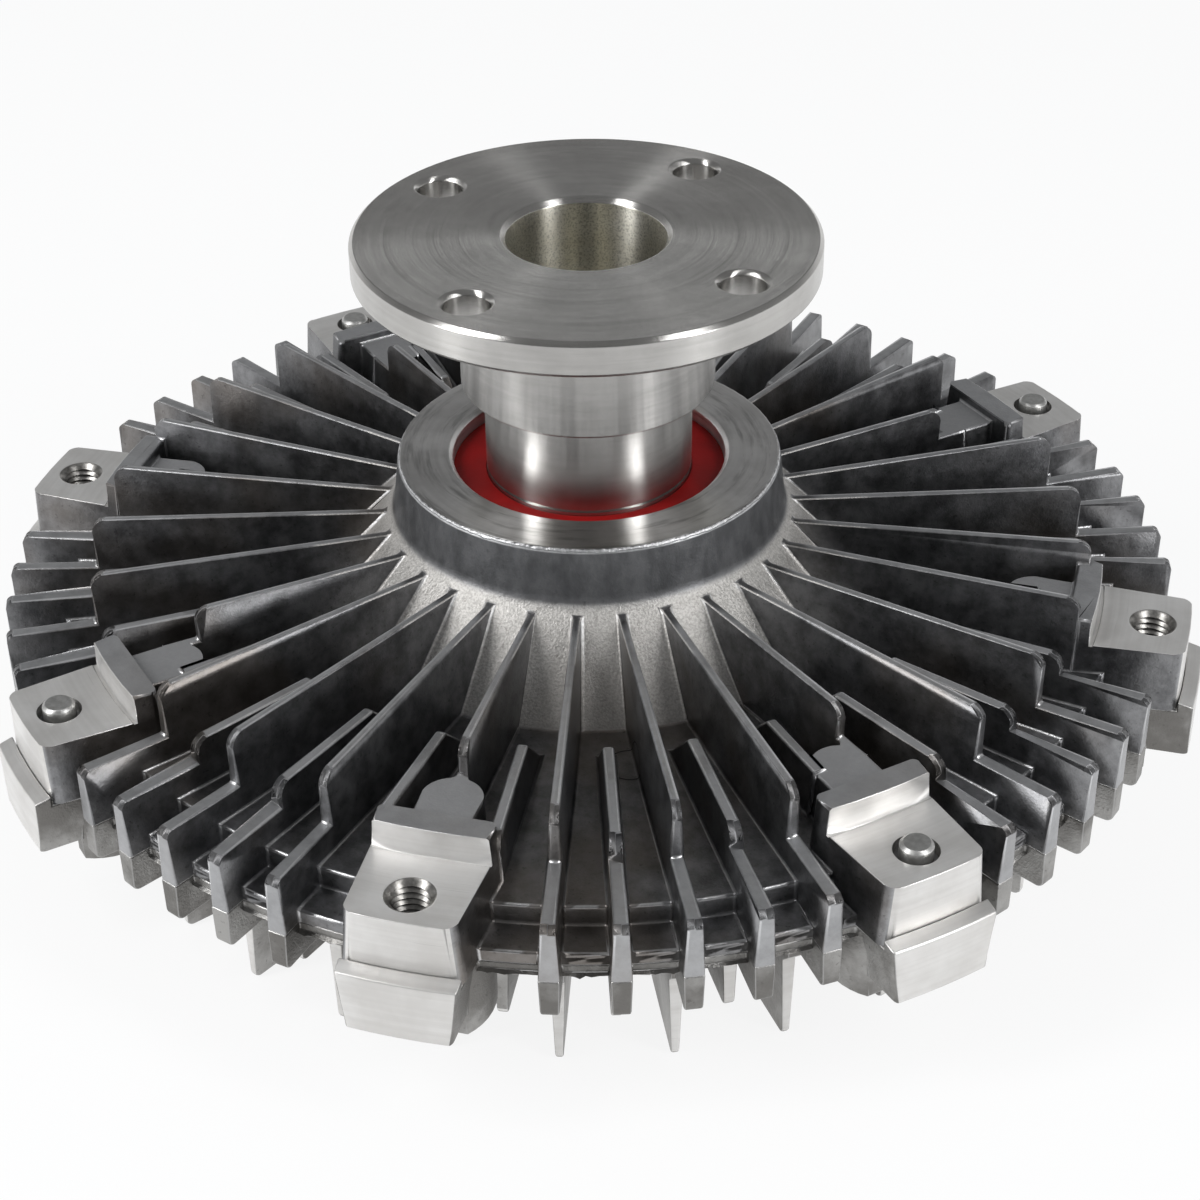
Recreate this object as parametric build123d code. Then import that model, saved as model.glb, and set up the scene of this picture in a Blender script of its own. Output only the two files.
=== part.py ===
from build123d import *
from math import asin, cos, degrees, radians, sin, sqrt
import os

# Viscous fan clutch standing on the fin ends of its front cover, input flange up.
# The axis of rotation is +Z and the ground is Z = 0. Lengths are in millimetres, angles in degrees.

# Body
RIM_RADIUS = 115.0
FIN_OVERHANG = 4.3
RIM_WIDTH = 7.2
DISC_EDGE_WALL = 6.5
DISC_RISE = 6.5
DISC_WALL = 3.2
RIM_THICKNESS = 2.5
COVER_RIM_THICKNESS = 1.6

# Bearing ring and cone of the housing
RING_WALL = 6.3
RING_DRAFT_STEP = 1.2
CONE_RISE = 17.0
CONE_SPREAD = 16.5
CONE_WALL = 4.0
RING_EDGE_CHAMFER = 0.5
RING_MOUTH_CHAMFER = 0.8
RING_FOOT_FILLET = 5.0

# Housing fins
FIN_COUNT = 60
FIN_TOP_THICKNESS = 1.5
FIN_SIDE_DRAFT = 0.05
TALL_FIN_RISE = 15.4
SHORT_FIN_RISE = 9.3
RIM_FIN_RISE = 9.0
FIN_STEP_INSET = 17.0
SHORT_FIN_START_GAP = 7.5
FIN_CORNER_RADIUS = 2.8
FIN_TIP_CORNER_RADIUS = 1.5
FIN_TAB_GAP = 1.0

# Boss blocks that carry the fan
BOSS_COUNT = 8
BOSS_BACK_DEPTH = 6.4
BOSS_HALF_WIDTH = 12.0
BOSS_NARROWING = 1.4
BOSS_DRAFT = 4.6
BOSS_CORNER_RADIUS = 2.6
PAD_RISE = 5.8
PAD_STAND_OUT = 2.9
REGISTER_DISTANCE = 10.45
REGISTER_RISE = 5.2
REGISTER_GROOVE_WIDTH = 0.8
REGISTER_GROOVE_DEPTH = 0.3
TAB_RISE = 9.0
TAB_HALF_WIDTH = 5.5
TAB_LENGTH = 17.4
TAB_DRAFT = 3.0

# Fan screws and cover screws
FAN_HOLE_EDGE_DISTANCE = 7.05
FAN_HOLE_RADIUS = 3.4
FAN_HOLE_MOUTH_RADIUS = 4.45
FAN_POCKET_DEPTH = 6.0
COVER_SCREW_RADIUS = 3.0
COVER_SCREW_STAND_OUT = 1.75
COVER_SCREW_TIP_CHAMFER = 0.6
COVER_SCREW_RECESS_RADIUS = 4.1
COVER_SCREW_RECESS_DEPTH = 2.5
COVER_SCREW_HEAD_RADIUS = 5.0
COVER_SCREW_HEAD_HEIGHT = 4.0
COVER_SCREW_HEX_RADIUS = 2.3
COVER_SCREW_HEX_DEPTH = 2.2
COVER_SCREW_SEAT_DEPTH = 6.5
SCREW_HOLE_CLEARANCE = 0.3
WASHER_THICKNESS = 1.2
WASHER_RADIUS = 5.8
COUNTERBORE_CLEARANCE = 0.4

# Input shaft and flange
FLANGE_EDGE_WIDTH = 8.9
FLANGE_THICKNESS = 7.0
FLANGE_HEIGHT = 45.8
FLANGE_EDGE_CHAMFER = 0.8
FLANGE_HOLE_COUNT = 4
FLANGE_HOLE_RADIUS = 4.25
FLANGE_HOLE_MOUTH_RADIUS = 5.1
FLANGE_HOLE_CIRCLE_RADIUS = 35.0
FLANGE_CLOCK = -21.45
CENTRE_BORE_RADIUS = 15.0
CENTRE_BORE_MOUTH_CHAMFER = 1.0
CENTRE_BORE_DEPTH = 34.0
DRILL_POINT_DEPTH = 5.0
NECK_STEP = 4.3
NECK_LENGTH = 23.1
NECK_EDGE_CHAMFER = 0.4
SHAFT_SHOULDER = 2.5
SEAL_LINE_DEPTH = 0.4
SEAL_LINE_WIDTH = 0.6

# Shaft seal
SEAL_WIDTH = 6.5
SEAL_THICKNESS = 7.0
SEAL_RECESS = 3.4
SEAL_SEAT_STEP = 1.0
SEAL_LEDGE = 1.5
SEAL_WALL = 1.2
SEAL_LIP_LENGTH = 4.2
SEAL_LIP_THICKNESS = 1.5
SEAL_RUNNING_CLEARANCE = 0.05
SEAL_SPRING_RADIUS = 0.6

# Ball bearing
BEARING_RADIUS = 31.0
BEARING_SECTION = 13.5
BEARING_WIDTH = 14.0
BEARING_RING_WALL = 4.0
BALL_COUNT = 11
RACE_DEPTH = 1.2
RACE_CLEARANCE = 0.05
CAGE_SIDE_CLEARANCE = 0.8
CAGE_WIDTH = 9.8
CAGE_POCKET_CLEARANCE = 0.1
SHIELD_THICKNESS = 0.8
SHIELD_INSET = 0.3
SHIELD_CLEARANCE = 0.15
BEARING_EDGE_CHAMFER = 0.6
RETAINING_RING_THICKNESS = 2.0
RETAINING_RING_WIDTH = 4.2
RETAINING_RING_GROOVE_DEPTH = 1.5
RETAINING_RING_GAP = 50.0
RETAINING_RING_LIFT = 3.5
GROOVE_CLEARANCE = 0.1

# Working chamber and rotor
CHAMBER_DEPTH = 8.2
ROTOR_EDGE_GAP = 2.5
ROTOR_WEB = 4.0
ROTOR_GAP = 0.8
LAND_THICKNESS = 1.8
LAND_CLEARANCE = 0.7
LAND_EDGE_WIDTH = 9.0
ROTOR_HUB_WALL = 6.0
ROTOR_SEAT_STEP = 2.5
ROTOR_COLLAR_WIDTH = 2.2
ROTOR_COLLAR_THICKNESS = 1.6
ROTOR_PORT_COUNT = 6
ROTOR_PORT_RADIUS = 4.0
ROTOR_PORT_CIRCLE_RADIUS = 46.0

# Cover fins
FRONT_FIN_END_THICKNESS = 1.4
FRONT_FIN_SIDE_DRAFT = 0.0343
FRONT_FIN_INSET = 16.5
FRONT_FIN_POST_GAP = 4.45
SHORT_FRONT_FIN_INSET = 2.0
SHORT_FRONT_FIN_LIFT = 8.0
SHORT_FRONT_FIN_LENGTH = 36.5
FRONT_FIN_LEAD_IN = 8.0
FIN_FOOT_DEPTH = 8.0
FIN_FOOT_STEP = 2.5
FRONT_FIN_TURNED_HEIGHT = 18.0
FRONT_FIN_CORNER_RADIUS = 1.5

# Cover shell
COVER_WALL = 3.5
RESERVOIR_INSET = 21.0
RESERVOIR_DEPTH = 6.3
COVER_SHOULDER_WALL = 2.0
COVER_BELLY_WALL = 3.8
COVER_WALL_TOP_WIDTH = 4.5
COVER_WALL_TOP_DEPTH = 6.0
SEAL_RING_WALL = 2.6
SEAL_RING_SECTION = 2.0

# Cover blocks under the bosses
BLOCK_HALF_WIDTH = 10.8
BLOCK_DEPTH = 10.5
BLOCK_DRAFT = 6.0
BLOCK_ROOT_WALL = 3.0
BLOCK_CORNER_RADIUS = 3.0
LIP_RISE = 2.1
LIP_BEVEL = 0.8
LIP_CLEARANCE = 0.1
LIP_WALL = 3.0
SCREW_BOSS_OFFSET = 5.35
SCREW_BOSS_RADIUS = 12.0
SCREW_BOSS_DEPTH = 15.0
SCREW_BOSS_FLAT_INSET = 8.2

# Separator plate
PLATE_LEDGE = 6.0
PLATE_THICKNESS = 1.5
PLATE_FIT_CLEARANCE = 0.1
PLATE_SCREW_COUNT = 6
PLATE_SCREW_RADIUS = 1.5
PLATE_SCREW_HEAD_RADIUS = 2.7
PLATE_SCREW_LENGTH = 6.0
PLATE_PORT_RADIUS = 4.0
PLATE_PORT_INSET = 18.0

# Valve
VALVE_HUB_WALL = 5.0
VALVE_HUB_TOP_RISE = 2.5
VALVE_HUB_FRONT_LENGTH = 5.0
SPINDLE_RADIUS = 4.0
SPINDLE_CLEARANCE = 0.05
SPINDLE_COLLAR_WIDTH = 2.0
SPINDLE_RIVET_STEP = 1.0
VALVE_END_PLAY = 0.2
ARM_THICKNESS = 0.8
ARM_HUB_WIDTH = 4.0
ARM_PAD_RADIUS = 6.5
ARM_WAIST = 4.0
VALVE_TURN = 28.0
ARM_STOP_RADIUS = 2.5
ARM_STOP_CIRCLE_RADIUS = 30.0
ARM_STOP_CLEARANCE = 0.3
SPINDLE_SEAL_SECTION = 1.6
SPINDLE_SEAL_GROOVE = 1.2
CLIP_THICKNESS = 0.8
CLIP_WIDTH = 3.0
CLIP_GROOVE_DEPTH = 0.8
CLIP_MOUTH_GRIP = 0.64

# Bimetal coil
COIL_STRIP_THICKNESS = 0.9
COIL_STRIP_WIDTH = 6.0
COIL_PITCH = 3.2
COIL_START_GAP = 2.4
COIL_LIFT = 1.2
COIL_CLIP_GAP = 0.8
COIL_HALF_TURNS = 11
COIL_SLOT_CLEARANCE = 0.1
COIL_POST_RADIUS = 3.4
COIL_POST_GAP = 0.3

# Filling plug
FILL_PLUG_RADIUS = 2.4
FILL_PLUG_FIN_GAP = 10.0
FILL_PLUG_STAND_OUT = 0.8

# Radii that follow from the sizes
RIM_EDGE_RADIUS = RIM_RADIUS - FIN_OVERHANG
DISC_RADIUS = RIM_EDGE_RADIUS - RIM_WIDTH
CHAMBER_RADIUS = DISC_RADIUS - DISC_EDGE_WALL
PAD_RADIUS = RIM_RADIUS + PAD_STAND_OUT
BLOCK_RADIUS = PAD_RADIUS + LIP_CLEARANCE + LIP_WALL
FAN_HOLE_CIRCLE_RADIUS = PAD_RADIUS - FAN_HOLE_EDGE_DISTANCE
REGISTER_RADIUS = FAN_HOLE_CIRCLE_RADIUS - REGISTER_DISTANCE
BOSS_INNER_RADIUS = REGISTER_RADIUS - BOSS_BACK_DEPTH
TAB_START_RADIUS = REGISTER_RADIUS - TAB_LENGTH
FIN_TAB_END_RADIUS = TAB_START_RADIUS - FIN_TAB_GAP
FIN_STEP_RADIUS = RIM_RADIUS - FIN_STEP_INSET
BLOCK_INNER_RADIUS = CHAMBER_RADIUS + BLOCK_ROOT_WALL
SCREW_BOSS_CENTRE_RADIUS = FAN_HOLE_CIRCLE_RADIUS - SCREW_BOSS_OFFSET
SCREW_BOSS_FLAT_RADIUS = BLOCK_RADIUS - SCREW_BOSS_FLAT_INSET
COVER_WALL_TOP_RADIUS = CHAMBER_RADIUS + COVER_WALL_TOP_WIDTH
SEAL_RING_INNER_RADIUS = CHAMBER_RADIUS + SEAL_RING_WALL
RESERVOIR_RADIUS = CHAMBER_RADIUS - RESERVOIR_INSET
PLATE_PORT_CIRCLE_RADIUS = RESERVOIR_RADIUS - PLATE_PORT_INSET
PLATE_RADIUS = RESERVOIR_RADIUS + PLATE_LEDGE
COVER_SHOULDER_RADIUS = PLATE_RADIUS + COVER_SHOULDER_WALL
COVER_BELLY_RADIUS = RESERVOIR_RADIUS + COVER_BELLY_WALL
FRONT_FIN_RADIUS = RIM_RADIUS - FRONT_FIN_INSET
SHORT_FRONT_FIN_RADIUS = FRONT_FIN_RADIUS - SHORT_FRONT_FIN_INSET
SHORT_FRONT_FIN_START_RADIUS = SHORT_FRONT_FIN_RADIUS - SHORT_FRONT_FIN_LENGTH
FIN_FOOT_STEP_RADIUS = FRONT_FIN_RADIUS + FIN_FOOT_STEP
FILL_PLUG_CIRCLE_RADIUS = SHORT_FRONT_FIN_START_RADIUS - FILL_PLUG_FIN_GAP
BEARING_BORE_RADIUS = BEARING_RADIUS - BEARING_SECTION
BEARING_SHOULDER_RADIUS = BEARING_BORE_RADIUS + BEARING_RING_WALL
BEARING_LAND_RADIUS = BEARING_RADIUS - BEARING_RING_WALL
PITCH_RADIUS = (BEARING_SHOULDER_RADIUS + BEARING_LAND_RADIUS) / 2
BALL_RADIUS = (BEARING_LAND_RADIUS - BEARING_SHOULDER_RADIUS) / 2 + RACE_DEPTH
RING_TOP_RADIUS = BEARING_RADIUS + RING_WALL
CONE_FOOT_RADIUS = RING_TOP_RADIUS + RING_DRAFT_STEP + CONE_SPREAD
SHORT_FIN_START_RADIUS = CONE_FOOT_RADIUS + SHORT_FIN_START_GAP
SEAL_SEAT_RADIUS = BEARING_BORE_RADIUS + SHAFT_SHOULDER
SEAL_RADIUS = SEAL_SEAT_RADIUS + SEAL_WIDTH
NECK_RADIUS = SEAL_SEAT_RADIUS + NECK_STEP
FLANGE_RADIUS = FLANGE_HOLE_CIRCLE_RADIUS + FLANGE_EDGE_WIDTH
ROTOR_RADIUS = CHAMBER_RADIUS - ROTOR_EDGE_GAP
LAND_PITCH = 2 * (LAND_THICKNESS + LAND_CLEARANCE)
LAND_COUNT = int((ROTOR_RADIUS - LAND_EDGE_WIDTH - CONE_FOOT_RADIUS) / LAND_PITCH)
ROTOR_SEAT_RADIUS = BEARING_BORE_RADIUS - ROTOR_SEAT_STEP
ROTOR_HUB_RADIUS = ROTOR_SEAT_RADIUS + ROTOR_HUB_WALL
ROTOR_COLLAR_RADIUS = ROTOR_SEAT_RADIUS + ROTOR_COLLAR_WIDTH
VALVE_HUB_RADIUS = SPINDLE_RADIUS + VALVE_HUB_WALL
SPINDLE_COLLAR_RADIUS = SPINDLE_RADIUS + SPINDLE_COLLAR_WIDTH
SPINDLE_RIVET_RADIUS = SPINDLE_RADIUS - SPINDLE_RIVET_STEP
ARM_HUB_RADIUS = SPINDLE_RADIUS + ARM_HUB_WIDTH
CLIP_INNER_RADIUS = SPINDLE_RADIUS - CLIP_GROOVE_DEPTH

# Levels and angles that follow from the sizes
BOSS_START = -90.0
BOSS_STEP = 360.0 / BOSS_COUNT
FIN_STEP = 360.0 / FIN_COUNT
COIL_FOOT_Z = COIL_LIFT
COIL_TOP_Z = COIL_FOOT_Z + COIL_STRIP_WIDTH
CLIP_FOOT_Z = COIL_TOP_Z + COIL_CLIP_GAP
CLIP_TOP_Z = CLIP_FOOT_Z + CLIP_THICKNESS
HUB_FOOT_Z = CLIP_TOP_Z + VALVE_END_PLAY
BELLY_Z = HUB_FOOT_Z + VALVE_HUB_FRONT_LENGTH
RESERVOIR_Z = BELLY_Z + COVER_WALL
HUB_TOP_Z = RESERVOIR_Z + VALVE_HUB_TOP_RISE
PLATE_FOOT_Z = RESERVOIR_Z + RESERVOIR_DEPTH
ARM_TOP_Z = PLATE_FOOT_Z - VALVE_END_PLAY
ARM_FOOT_Z = ARM_TOP_Z - ARM_THICKNESS
FLOOR_Z = PLATE_FOOT_Z + PLATE_THICKNESS
PARTING_Z = FLOOR_Z + CHAMBER_DEPTH
CEILING_Z = PARTING_Z + DISC_RISE - DISC_WALL
DISC_Z = PARTING_Z + DISC_RISE
RIM_Z = PARTING_Z + RIM_THICKNESS
BEARING_FOOT_Z = CEILING_Z + RETAINING_RING_LIFT + RETAINING_RING_THICKNESS
BEARING_MID_Z = BEARING_FOOT_Z + BEARING_WIDTH / 2
BEARING_TOP_Z = BEARING_FOOT_Z + BEARING_WIDTH
SEAL_FOOT_Z = BEARING_TOP_Z + SEAL_LEDGE
SEAL_TOP_Z = SEAL_FOOT_Z + SEAL_THICKNESS
RING_TOP_Z = SEAL_TOP_Z + SEAL_RECESS
CONE_TOP_Z = DISC_Z + CONE_RISE
TALL_FIN_Z = DISC_Z + TALL_FIN_RISE
SHORT_FIN_Z = DISC_Z + SHORT_FIN_RISE
RIM_FIN_Z = RIM_Z + RIM_FIN_RISE
PAD_Z = DISC_Z + PAD_RISE
REGISTER_Z = PAD_Z + REGISTER_RISE
TAB_Z = DISC_Z + TAB_RISE
FLANGE_TOP_Z = RING_TOP_Z + FLANGE_HEIGHT
FLANGE_UNDER_Z = FLANGE_TOP_Z - FLANGE_THICKNESS
NECK_FOOT_Z = FLANGE_UNDER_Z - NECK_LENGTH
ROTOR_FOOT_Z = FLOOR_Z + ROTOR_GAP
WEB_TOP_Z = ROTOR_FOOT_Z + ROTOR_WEB
BLOCK_FOOT_Z = PARTING_Z - BLOCK_DEPTH
SCREW_BOSS_FOOT_Z = PARTING_Z - SCREW_BOSS_DEPTH
LIP_TOP_Z = PARTING_Z + LIP_RISE
FIN_FOOT_Z = PARTING_Z - FIN_FOOT_DEPTH
SCREW_SEAT_Z = PARTING_Z - COVER_SCREW_SEAT_DEPTH
COIL_INNER_RADIUS = SPINDLE_RADIUS + COIL_START_GAP
COIL_END_RADIUS = COIL_INNER_RADIUS + COIL_PITCH * COIL_HALF_TURNS / 2
COIL_POST_CIRCLE_RADIUS = COIL_END_RADIUS + COIL_STRIP_THICKNESS / 2 + COIL_POST_GAP + COIL_POST_RADIUS
FRONT_FIN_INNER_RADIUS = COIL_POST_CIRCLE_RADIUS + COIL_POST_RADIUS + FRONT_FIN_POST_GAP
BOSS_ANGLES = [BOSS_START + BOSS_STEP * k for k in range(BOSS_COUNT)]
FAN_ANGLES = BOSS_ANGLES[0::2]
SCREW_ANGLES = BOSS_ANGLES[1::2]


# Shapes used again and again
def revolved(points):
    """Full turn about the axis of a closed outline given as (radius, height)."""
    return revolve(Plane.XZ * make_face(Polyline(*points, close=True)), Axis.Z)


def tube(outer, inner, foot, top):
    """Round tube about the axis between two heights."""
    return revolved([(inner, foot), (outer, foot), (outer, top), (inner, top)])


def rod(radius, foot, top, x=0.0, y=0.0):
    """Upright round bar."""
    return extrude(Plane.XY.offset(foot) * Pos(x, y) * Circle(radius), top - foot)


def block(x_low, x_high, half_width, foot, top):
    """Box with its middle plane on the X axis."""
    middle = Pos((x_low + x_high) / 2, 0)
    return extrude(Plane.XY.offset(foot) * middle * Rectangle(x_high - x_low, 2 * half_width), top - foot)


def cone_mouth(narrow, wide, face_z, x=0.0):
    """Cutter for a 90 degree countersink that opens upward at face_z."""
    cutter = revolved([(0, face_z - wide), (wide, face_z), (wide, face_z + 1), (0, face_z + 1)])
    return Pos(x, 0, 0) * (cutter - rod(narrow / 2, face_z - wide, face_z - narrow))


def turned_about(shape, angles):
    """Copies of a shape at the given angles about the axis."""
    return [Rot(0, 0, angle) * shape for angle in angles]


def rounded_outline(points, rounded):
    """Closed outline with some of its corners rounded, given as (corner, radius)."""
    face = make_face(Polyline(*points, close=True))
    for corner, radius in rounded:
        vertex = face.vertices().sort_by_distance((corner[0], corner[1], 0))[0]
        face = fillet(vertex, radius)
    return face


def drafted_fin(outline, thin_z, thin, thick_z, thick):
    """Upright radial plate along +X, cut to an outline and tapered in thickness."""
    plate = extrude(Plane.XZ * outline, thick, both=True)
    section = [(-thin / 2, thin_z), (thin / 2, thin_z), (thick / 2, thick_z), (-thick / 2, thick_z)]
    wedge = extrude(Plane.YZ * make_face(Polyline(*section, close=True)), RIM_RADIUS + 1)
    return plate & wedge


# Which fins are tall and how far out each one runs
def fin_number_is_tall(number):
    return number % 2 == 0


def angle_to_nearest_boss(number):
    offset = (FIN_STEP * number) % BOSS_STEP
    return min(offset, BOSS_STEP - offset)


def fin_angle(number):
    return BOSS_START + FIN_STEP * number


def fin_meets(half_width, radius, number):
    """Whether a fin runs into something of a given half width that stands on a boss's middle line."""
    return angle_to_nearest_boss(number) < degrees(asin(half_width / radius))


# Rear housing
def cone_radius_at(height):
    slope = (CONE_FOOT_RADIUS - RING_TOP_RADIUS - RING_DRAFT_STEP) / CONE_RISE
    return CONE_FOOT_RADIUS - slope * (height - DISC_Z)


def housing_shell():
    ring_foot_radius = RING_TOP_RADIUS + RING_DRAFT_STEP
    groove_radius = BEARING_RADIUS + RETAINING_RING_GROOVE_DEPTH
    groove_foot_z = BEARING_FOOT_Z - RETAINING_RING_THICKNESS - GROOVE_CLEARANCE
    outline = [
        (SEAL_RADIUS, RING_TOP_Z - RING_MOUTH_CHAMFER),
        (SEAL_RADIUS + RING_MOUTH_CHAMFER, RING_TOP_Z),
        (RING_TOP_RADIUS - RING_EDGE_CHAMFER, RING_TOP_Z),
        (RING_TOP_RADIUS, RING_TOP_Z - RING_EDGE_CHAMFER),
        (ring_foot_radius, CONE_TOP_Z),
        (CONE_FOOT_RADIUS, DISC_Z),
        (DISC_RADIUS, DISC_Z),
        (DISC_RADIUS, RIM_Z),
        (RIM_EDGE_RADIUS, RIM_Z),
        (RIM_EDGE_RADIUS, PARTING_Z),
        (CHAMBER_RADIUS, PARTING_Z),
        (CHAMBER_RADIUS, CEILING_Z),
        (BEARING_RADIUS, CEILING_Z),
        (BEARING_RADIUS, groove_foot_z),
        (groove_radius, groove_foot_z),
        (groove_radius, BEARING_FOOT_Z),
        (BEARING_RADIUS, BEARING_FOOT_Z),
        (BEARING_RADIUS, BEARING_TOP_Z),
        (SEAL_RADIUS - SEAL_SEAT_STEP, BEARING_TOP_Z),
        (SEAL_RADIUS - SEAL_SEAT_STEP, SEAL_FOOT_Z),
        (SEAL_RADIUS, SEAL_FOOT_Z),
    ]
    section = rounded_outline(outline, [((ring_foot_radius, CONE_TOP_Z), RING_FOOT_FILLET)])
    return revolve(Plane.XZ * section, Axis.Z)


def housing_core():
    """Hollow under the cone, between the bearing seat and the cone's wall."""
    slope = (CONE_FOOT_RADIUS - cone_radius_at(CONE_TOP_Z)) / CONE_RISE
    inner = BEARING_RADIUS + RETAINING_RING_GROOVE_DEPTH + CONE_WALL
    outer = cone_radius_at(CEILING_Z) - CONE_WALL * sqrt(1 + slope**2)
    peak_z = CEILING_Z + (outer - inner) / slope
    return revolved([(inner, CEILING_Z), (outer, CEILING_Z), (inner, peak_z)])


def ring_lands(inner, foot, top):
    """Ring lands at one pitch, the first of them with a given inner radius."""
    radii = [inner + LAND_PITCH * number for number in range(LAND_COUNT)]
    return [tube(radius + LAND_THICKNESS, radius, foot, top) for radius in radii]


def housing_fin(tall, meets_tab, meets_block):
    """One housing fin along +X, which ends where it meets a boss's tab or block."""
    root_z = DISC_Z - DISC_WALL / 2
    root_shift = CONE_WALL / 2
    top_z = TALL_FIN_Z if tall else SHORT_FIN_Z
    if tall:
        start = [(cone_radius_at(root_z) - root_shift, root_z), (cone_radius_at(top_z) - root_shift, top_z)]
    else:
        start = [(SHORT_FIN_START_RADIUS - DISC_WALL / 2, root_z)]
        start.append((SHORT_FIN_START_RADIUS + SHORT_FIN_RISE, top_z))
    if meets_tab:
        end_radius = FIN_TAB_END_RADIUS if tall else TAB_START_RADIUS + TAB_HALF_WIDTH
        tab_reach = TAB_START_RADIUS + TAB_HALF_WIDTH
        end = [(end_radius, top_z), (end_radius, TAB_Z), (tab_reach, TAB_Z), (tab_reach, root_z)]
        if not tall:
            end = [(end_radius, top_z), (end_radius, root_z)]
        rounded = [((end_radius, top_z), FIN_CORNER_RADIUS)] if tall else []
    elif meets_block:
        end = [(FIN_STEP_RADIUS, top_z), (FIN_STEP_RADIUS, root_z)]
        rounded = [((FIN_STEP_RADIUS, top_z), FIN_CORNER_RADIUS)]
    else:
        foot_radius = (CHAMBER_RADIUS + DISC_RADIUS) / 2
        end = [
            (FIN_STEP_RADIUS, top_z),
            (FIN_STEP_RADIUS, RIM_FIN_Z),
            (RIM_RADIUS, RIM_FIN_Z),
            (RIM_RADIUS, PARTING_Z),
            (foot_radius, PARTING_Z),
            (foot_radius, root_z),
        ]
        rounded = [((FIN_STEP_RADIUS, top_z), FIN_CORNER_RADIUS)]
        rounded.append(((RIM_RADIUS, RIM_FIN_Z), FIN_TIP_CORNER_RADIUS))
    outline = rounded_outline(start + end, rounded)
    foot_thickness = FIN_TOP_THICKNESS + 2 * FIN_SIDE_DRAFT * (TALL_FIN_Z - PARTING_Z)
    return drafted_fin(outline, TALL_FIN_Z, FIN_TOP_THICKNESS, PARTING_Z, foot_thickness)


def housing_boss():
    """Boss block along +X: drafted casting with a turned register, pad and outer face."""
    outer = PAD_RADIUS + BOSS_CORNER_RADIUS
    plan = rounded_outline(
        [
            (BOSS_INNER_RADIUS, -BOSS_HALF_WIDTH),
            (outer, BOSS_NARROWING - BOSS_HALF_WIDTH),
            (outer, BOSS_HALF_WIDTH - BOSS_NARROWING),
            (BOSS_INNER_RADIUS, BOSS_HALF_WIDTH),
        ],
        [
            ((BOSS_INNER_RADIUS, -BOSS_HALF_WIDTH), BOSS_CORNER_RADIUS),
            ((BOSS_INNER_RADIUS, BOSS_HALF_WIDTH), BOSS_CORNER_RADIUS),
            ((outer, BOSS_NARROWING - BOSS_HALF_WIDTH), BOSS_CORNER_RADIUS),
            ((outer, BOSS_HALF_WIDTH - BOSS_NARROWING), BOSS_CORNER_RADIUS),
        ],
    )
    casting = extrude(Plane.XY.offset(PARTING_Z) * plan, REGISTER_Z - PARTING_Z, taper=BOSS_DRAFT)
    casting &= rod(PAD_RADIUS, PARTING_Z, REGISTER_Z)
    casting -= tube(PAD_RADIUS + 1, REGISTER_RADIUS, PAD_Z, REGISTER_Z + 1)
    groove_radius = REGISTER_RADIUS + REGISTER_GROOVE_WIDTH
    casting -= tube(groove_radius, REGISTER_RADIUS, PAD_Z - REGISTER_GROOVE_DEPTH, PAD_Z)
    root_z = DISC_Z - DISC_WALL / 2
    tab_centre = TAB_START_RADIUS + TAB_HALF_WIDTH
    tab_plan = Pos(tab_centre, 0) * Circle(TAB_HALF_WIDTH)
    tab_back = Rectangle(REGISTER_RADIUS - tab_centre, 2 * TAB_HALF_WIDTH)
    tab_plan += Pos((tab_centre + REGISTER_RADIUS) / 2, 0) * tab_back
    tab = extrude(Plane.XY.offset(TAB_Z) * tab_plan, root_z - TAB_Z, taper=-TAB_DRAFT)
    tab &= rod(REGISTER_RADIUS, root_z, TAB_Z)
    return [casting, tab]


def rear_housing():
    solid = housing_shell() - housing_core()
    pieces = ring_lands(CONE_FOOT_RADIUS, WEB_TOP_Z + ROTOR_GAP, CEILING_Z + DISC_WALL / 2)
    for number in range(FIN_COUNT):
        meets_tab = fin_meets(TAB_HALF_WIDTH, TAB_START_RADIUS, number)
        meets_block = fin_meets(BOSS_HALF_WIDTH, FIN_STEP_RADIUS, number)
        fin = housing_fin(fin_number_is_tall(number), meets_tab, meets_block)
        pieces.append(Rot(0, 0, fin_angle(number)) * fin)
    for piece in housing_boss():
        pieces += turned_about(piece, BOSS_ANGLES)
    solid = solid + pieces
    fan_hole = rod(FAN_HOLE_RADIUS, PARTING_Z, PAD_Z, FAN_HOLE_CIRCLE_RADIUS)
    fan_mouth = cone_mouth(FAN_HOLE_RADIUS, FAN_HOLE_MOUTH_RADIUS, PAD_Z, FAN_HOLE_CIRCLE_RADIUS)
    screw_hole = rod(COVER_SCREW_RADIUS, PARTING_Z, PAD_Z, FAN_HOLE_CIRCLE_RADIUS)
    recess = rod(COVER_SCREW_RECESS_RADIUS, PAD_Z - COVER_SCREW_RECESS_DEPTH, PAD_Z, FAN_HOLE_CIRCLE_RADIUS)
    cutters = turned_about(fan_hole, FAN_ANGLES) + turned_about(fan_mouth, FAN_ANGLES)
    cutters += turned_about(screw_hole, SCREW_ANGLES) + turned_about(recess, SCREW_ANGLES)
    return solid - cutters


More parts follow.
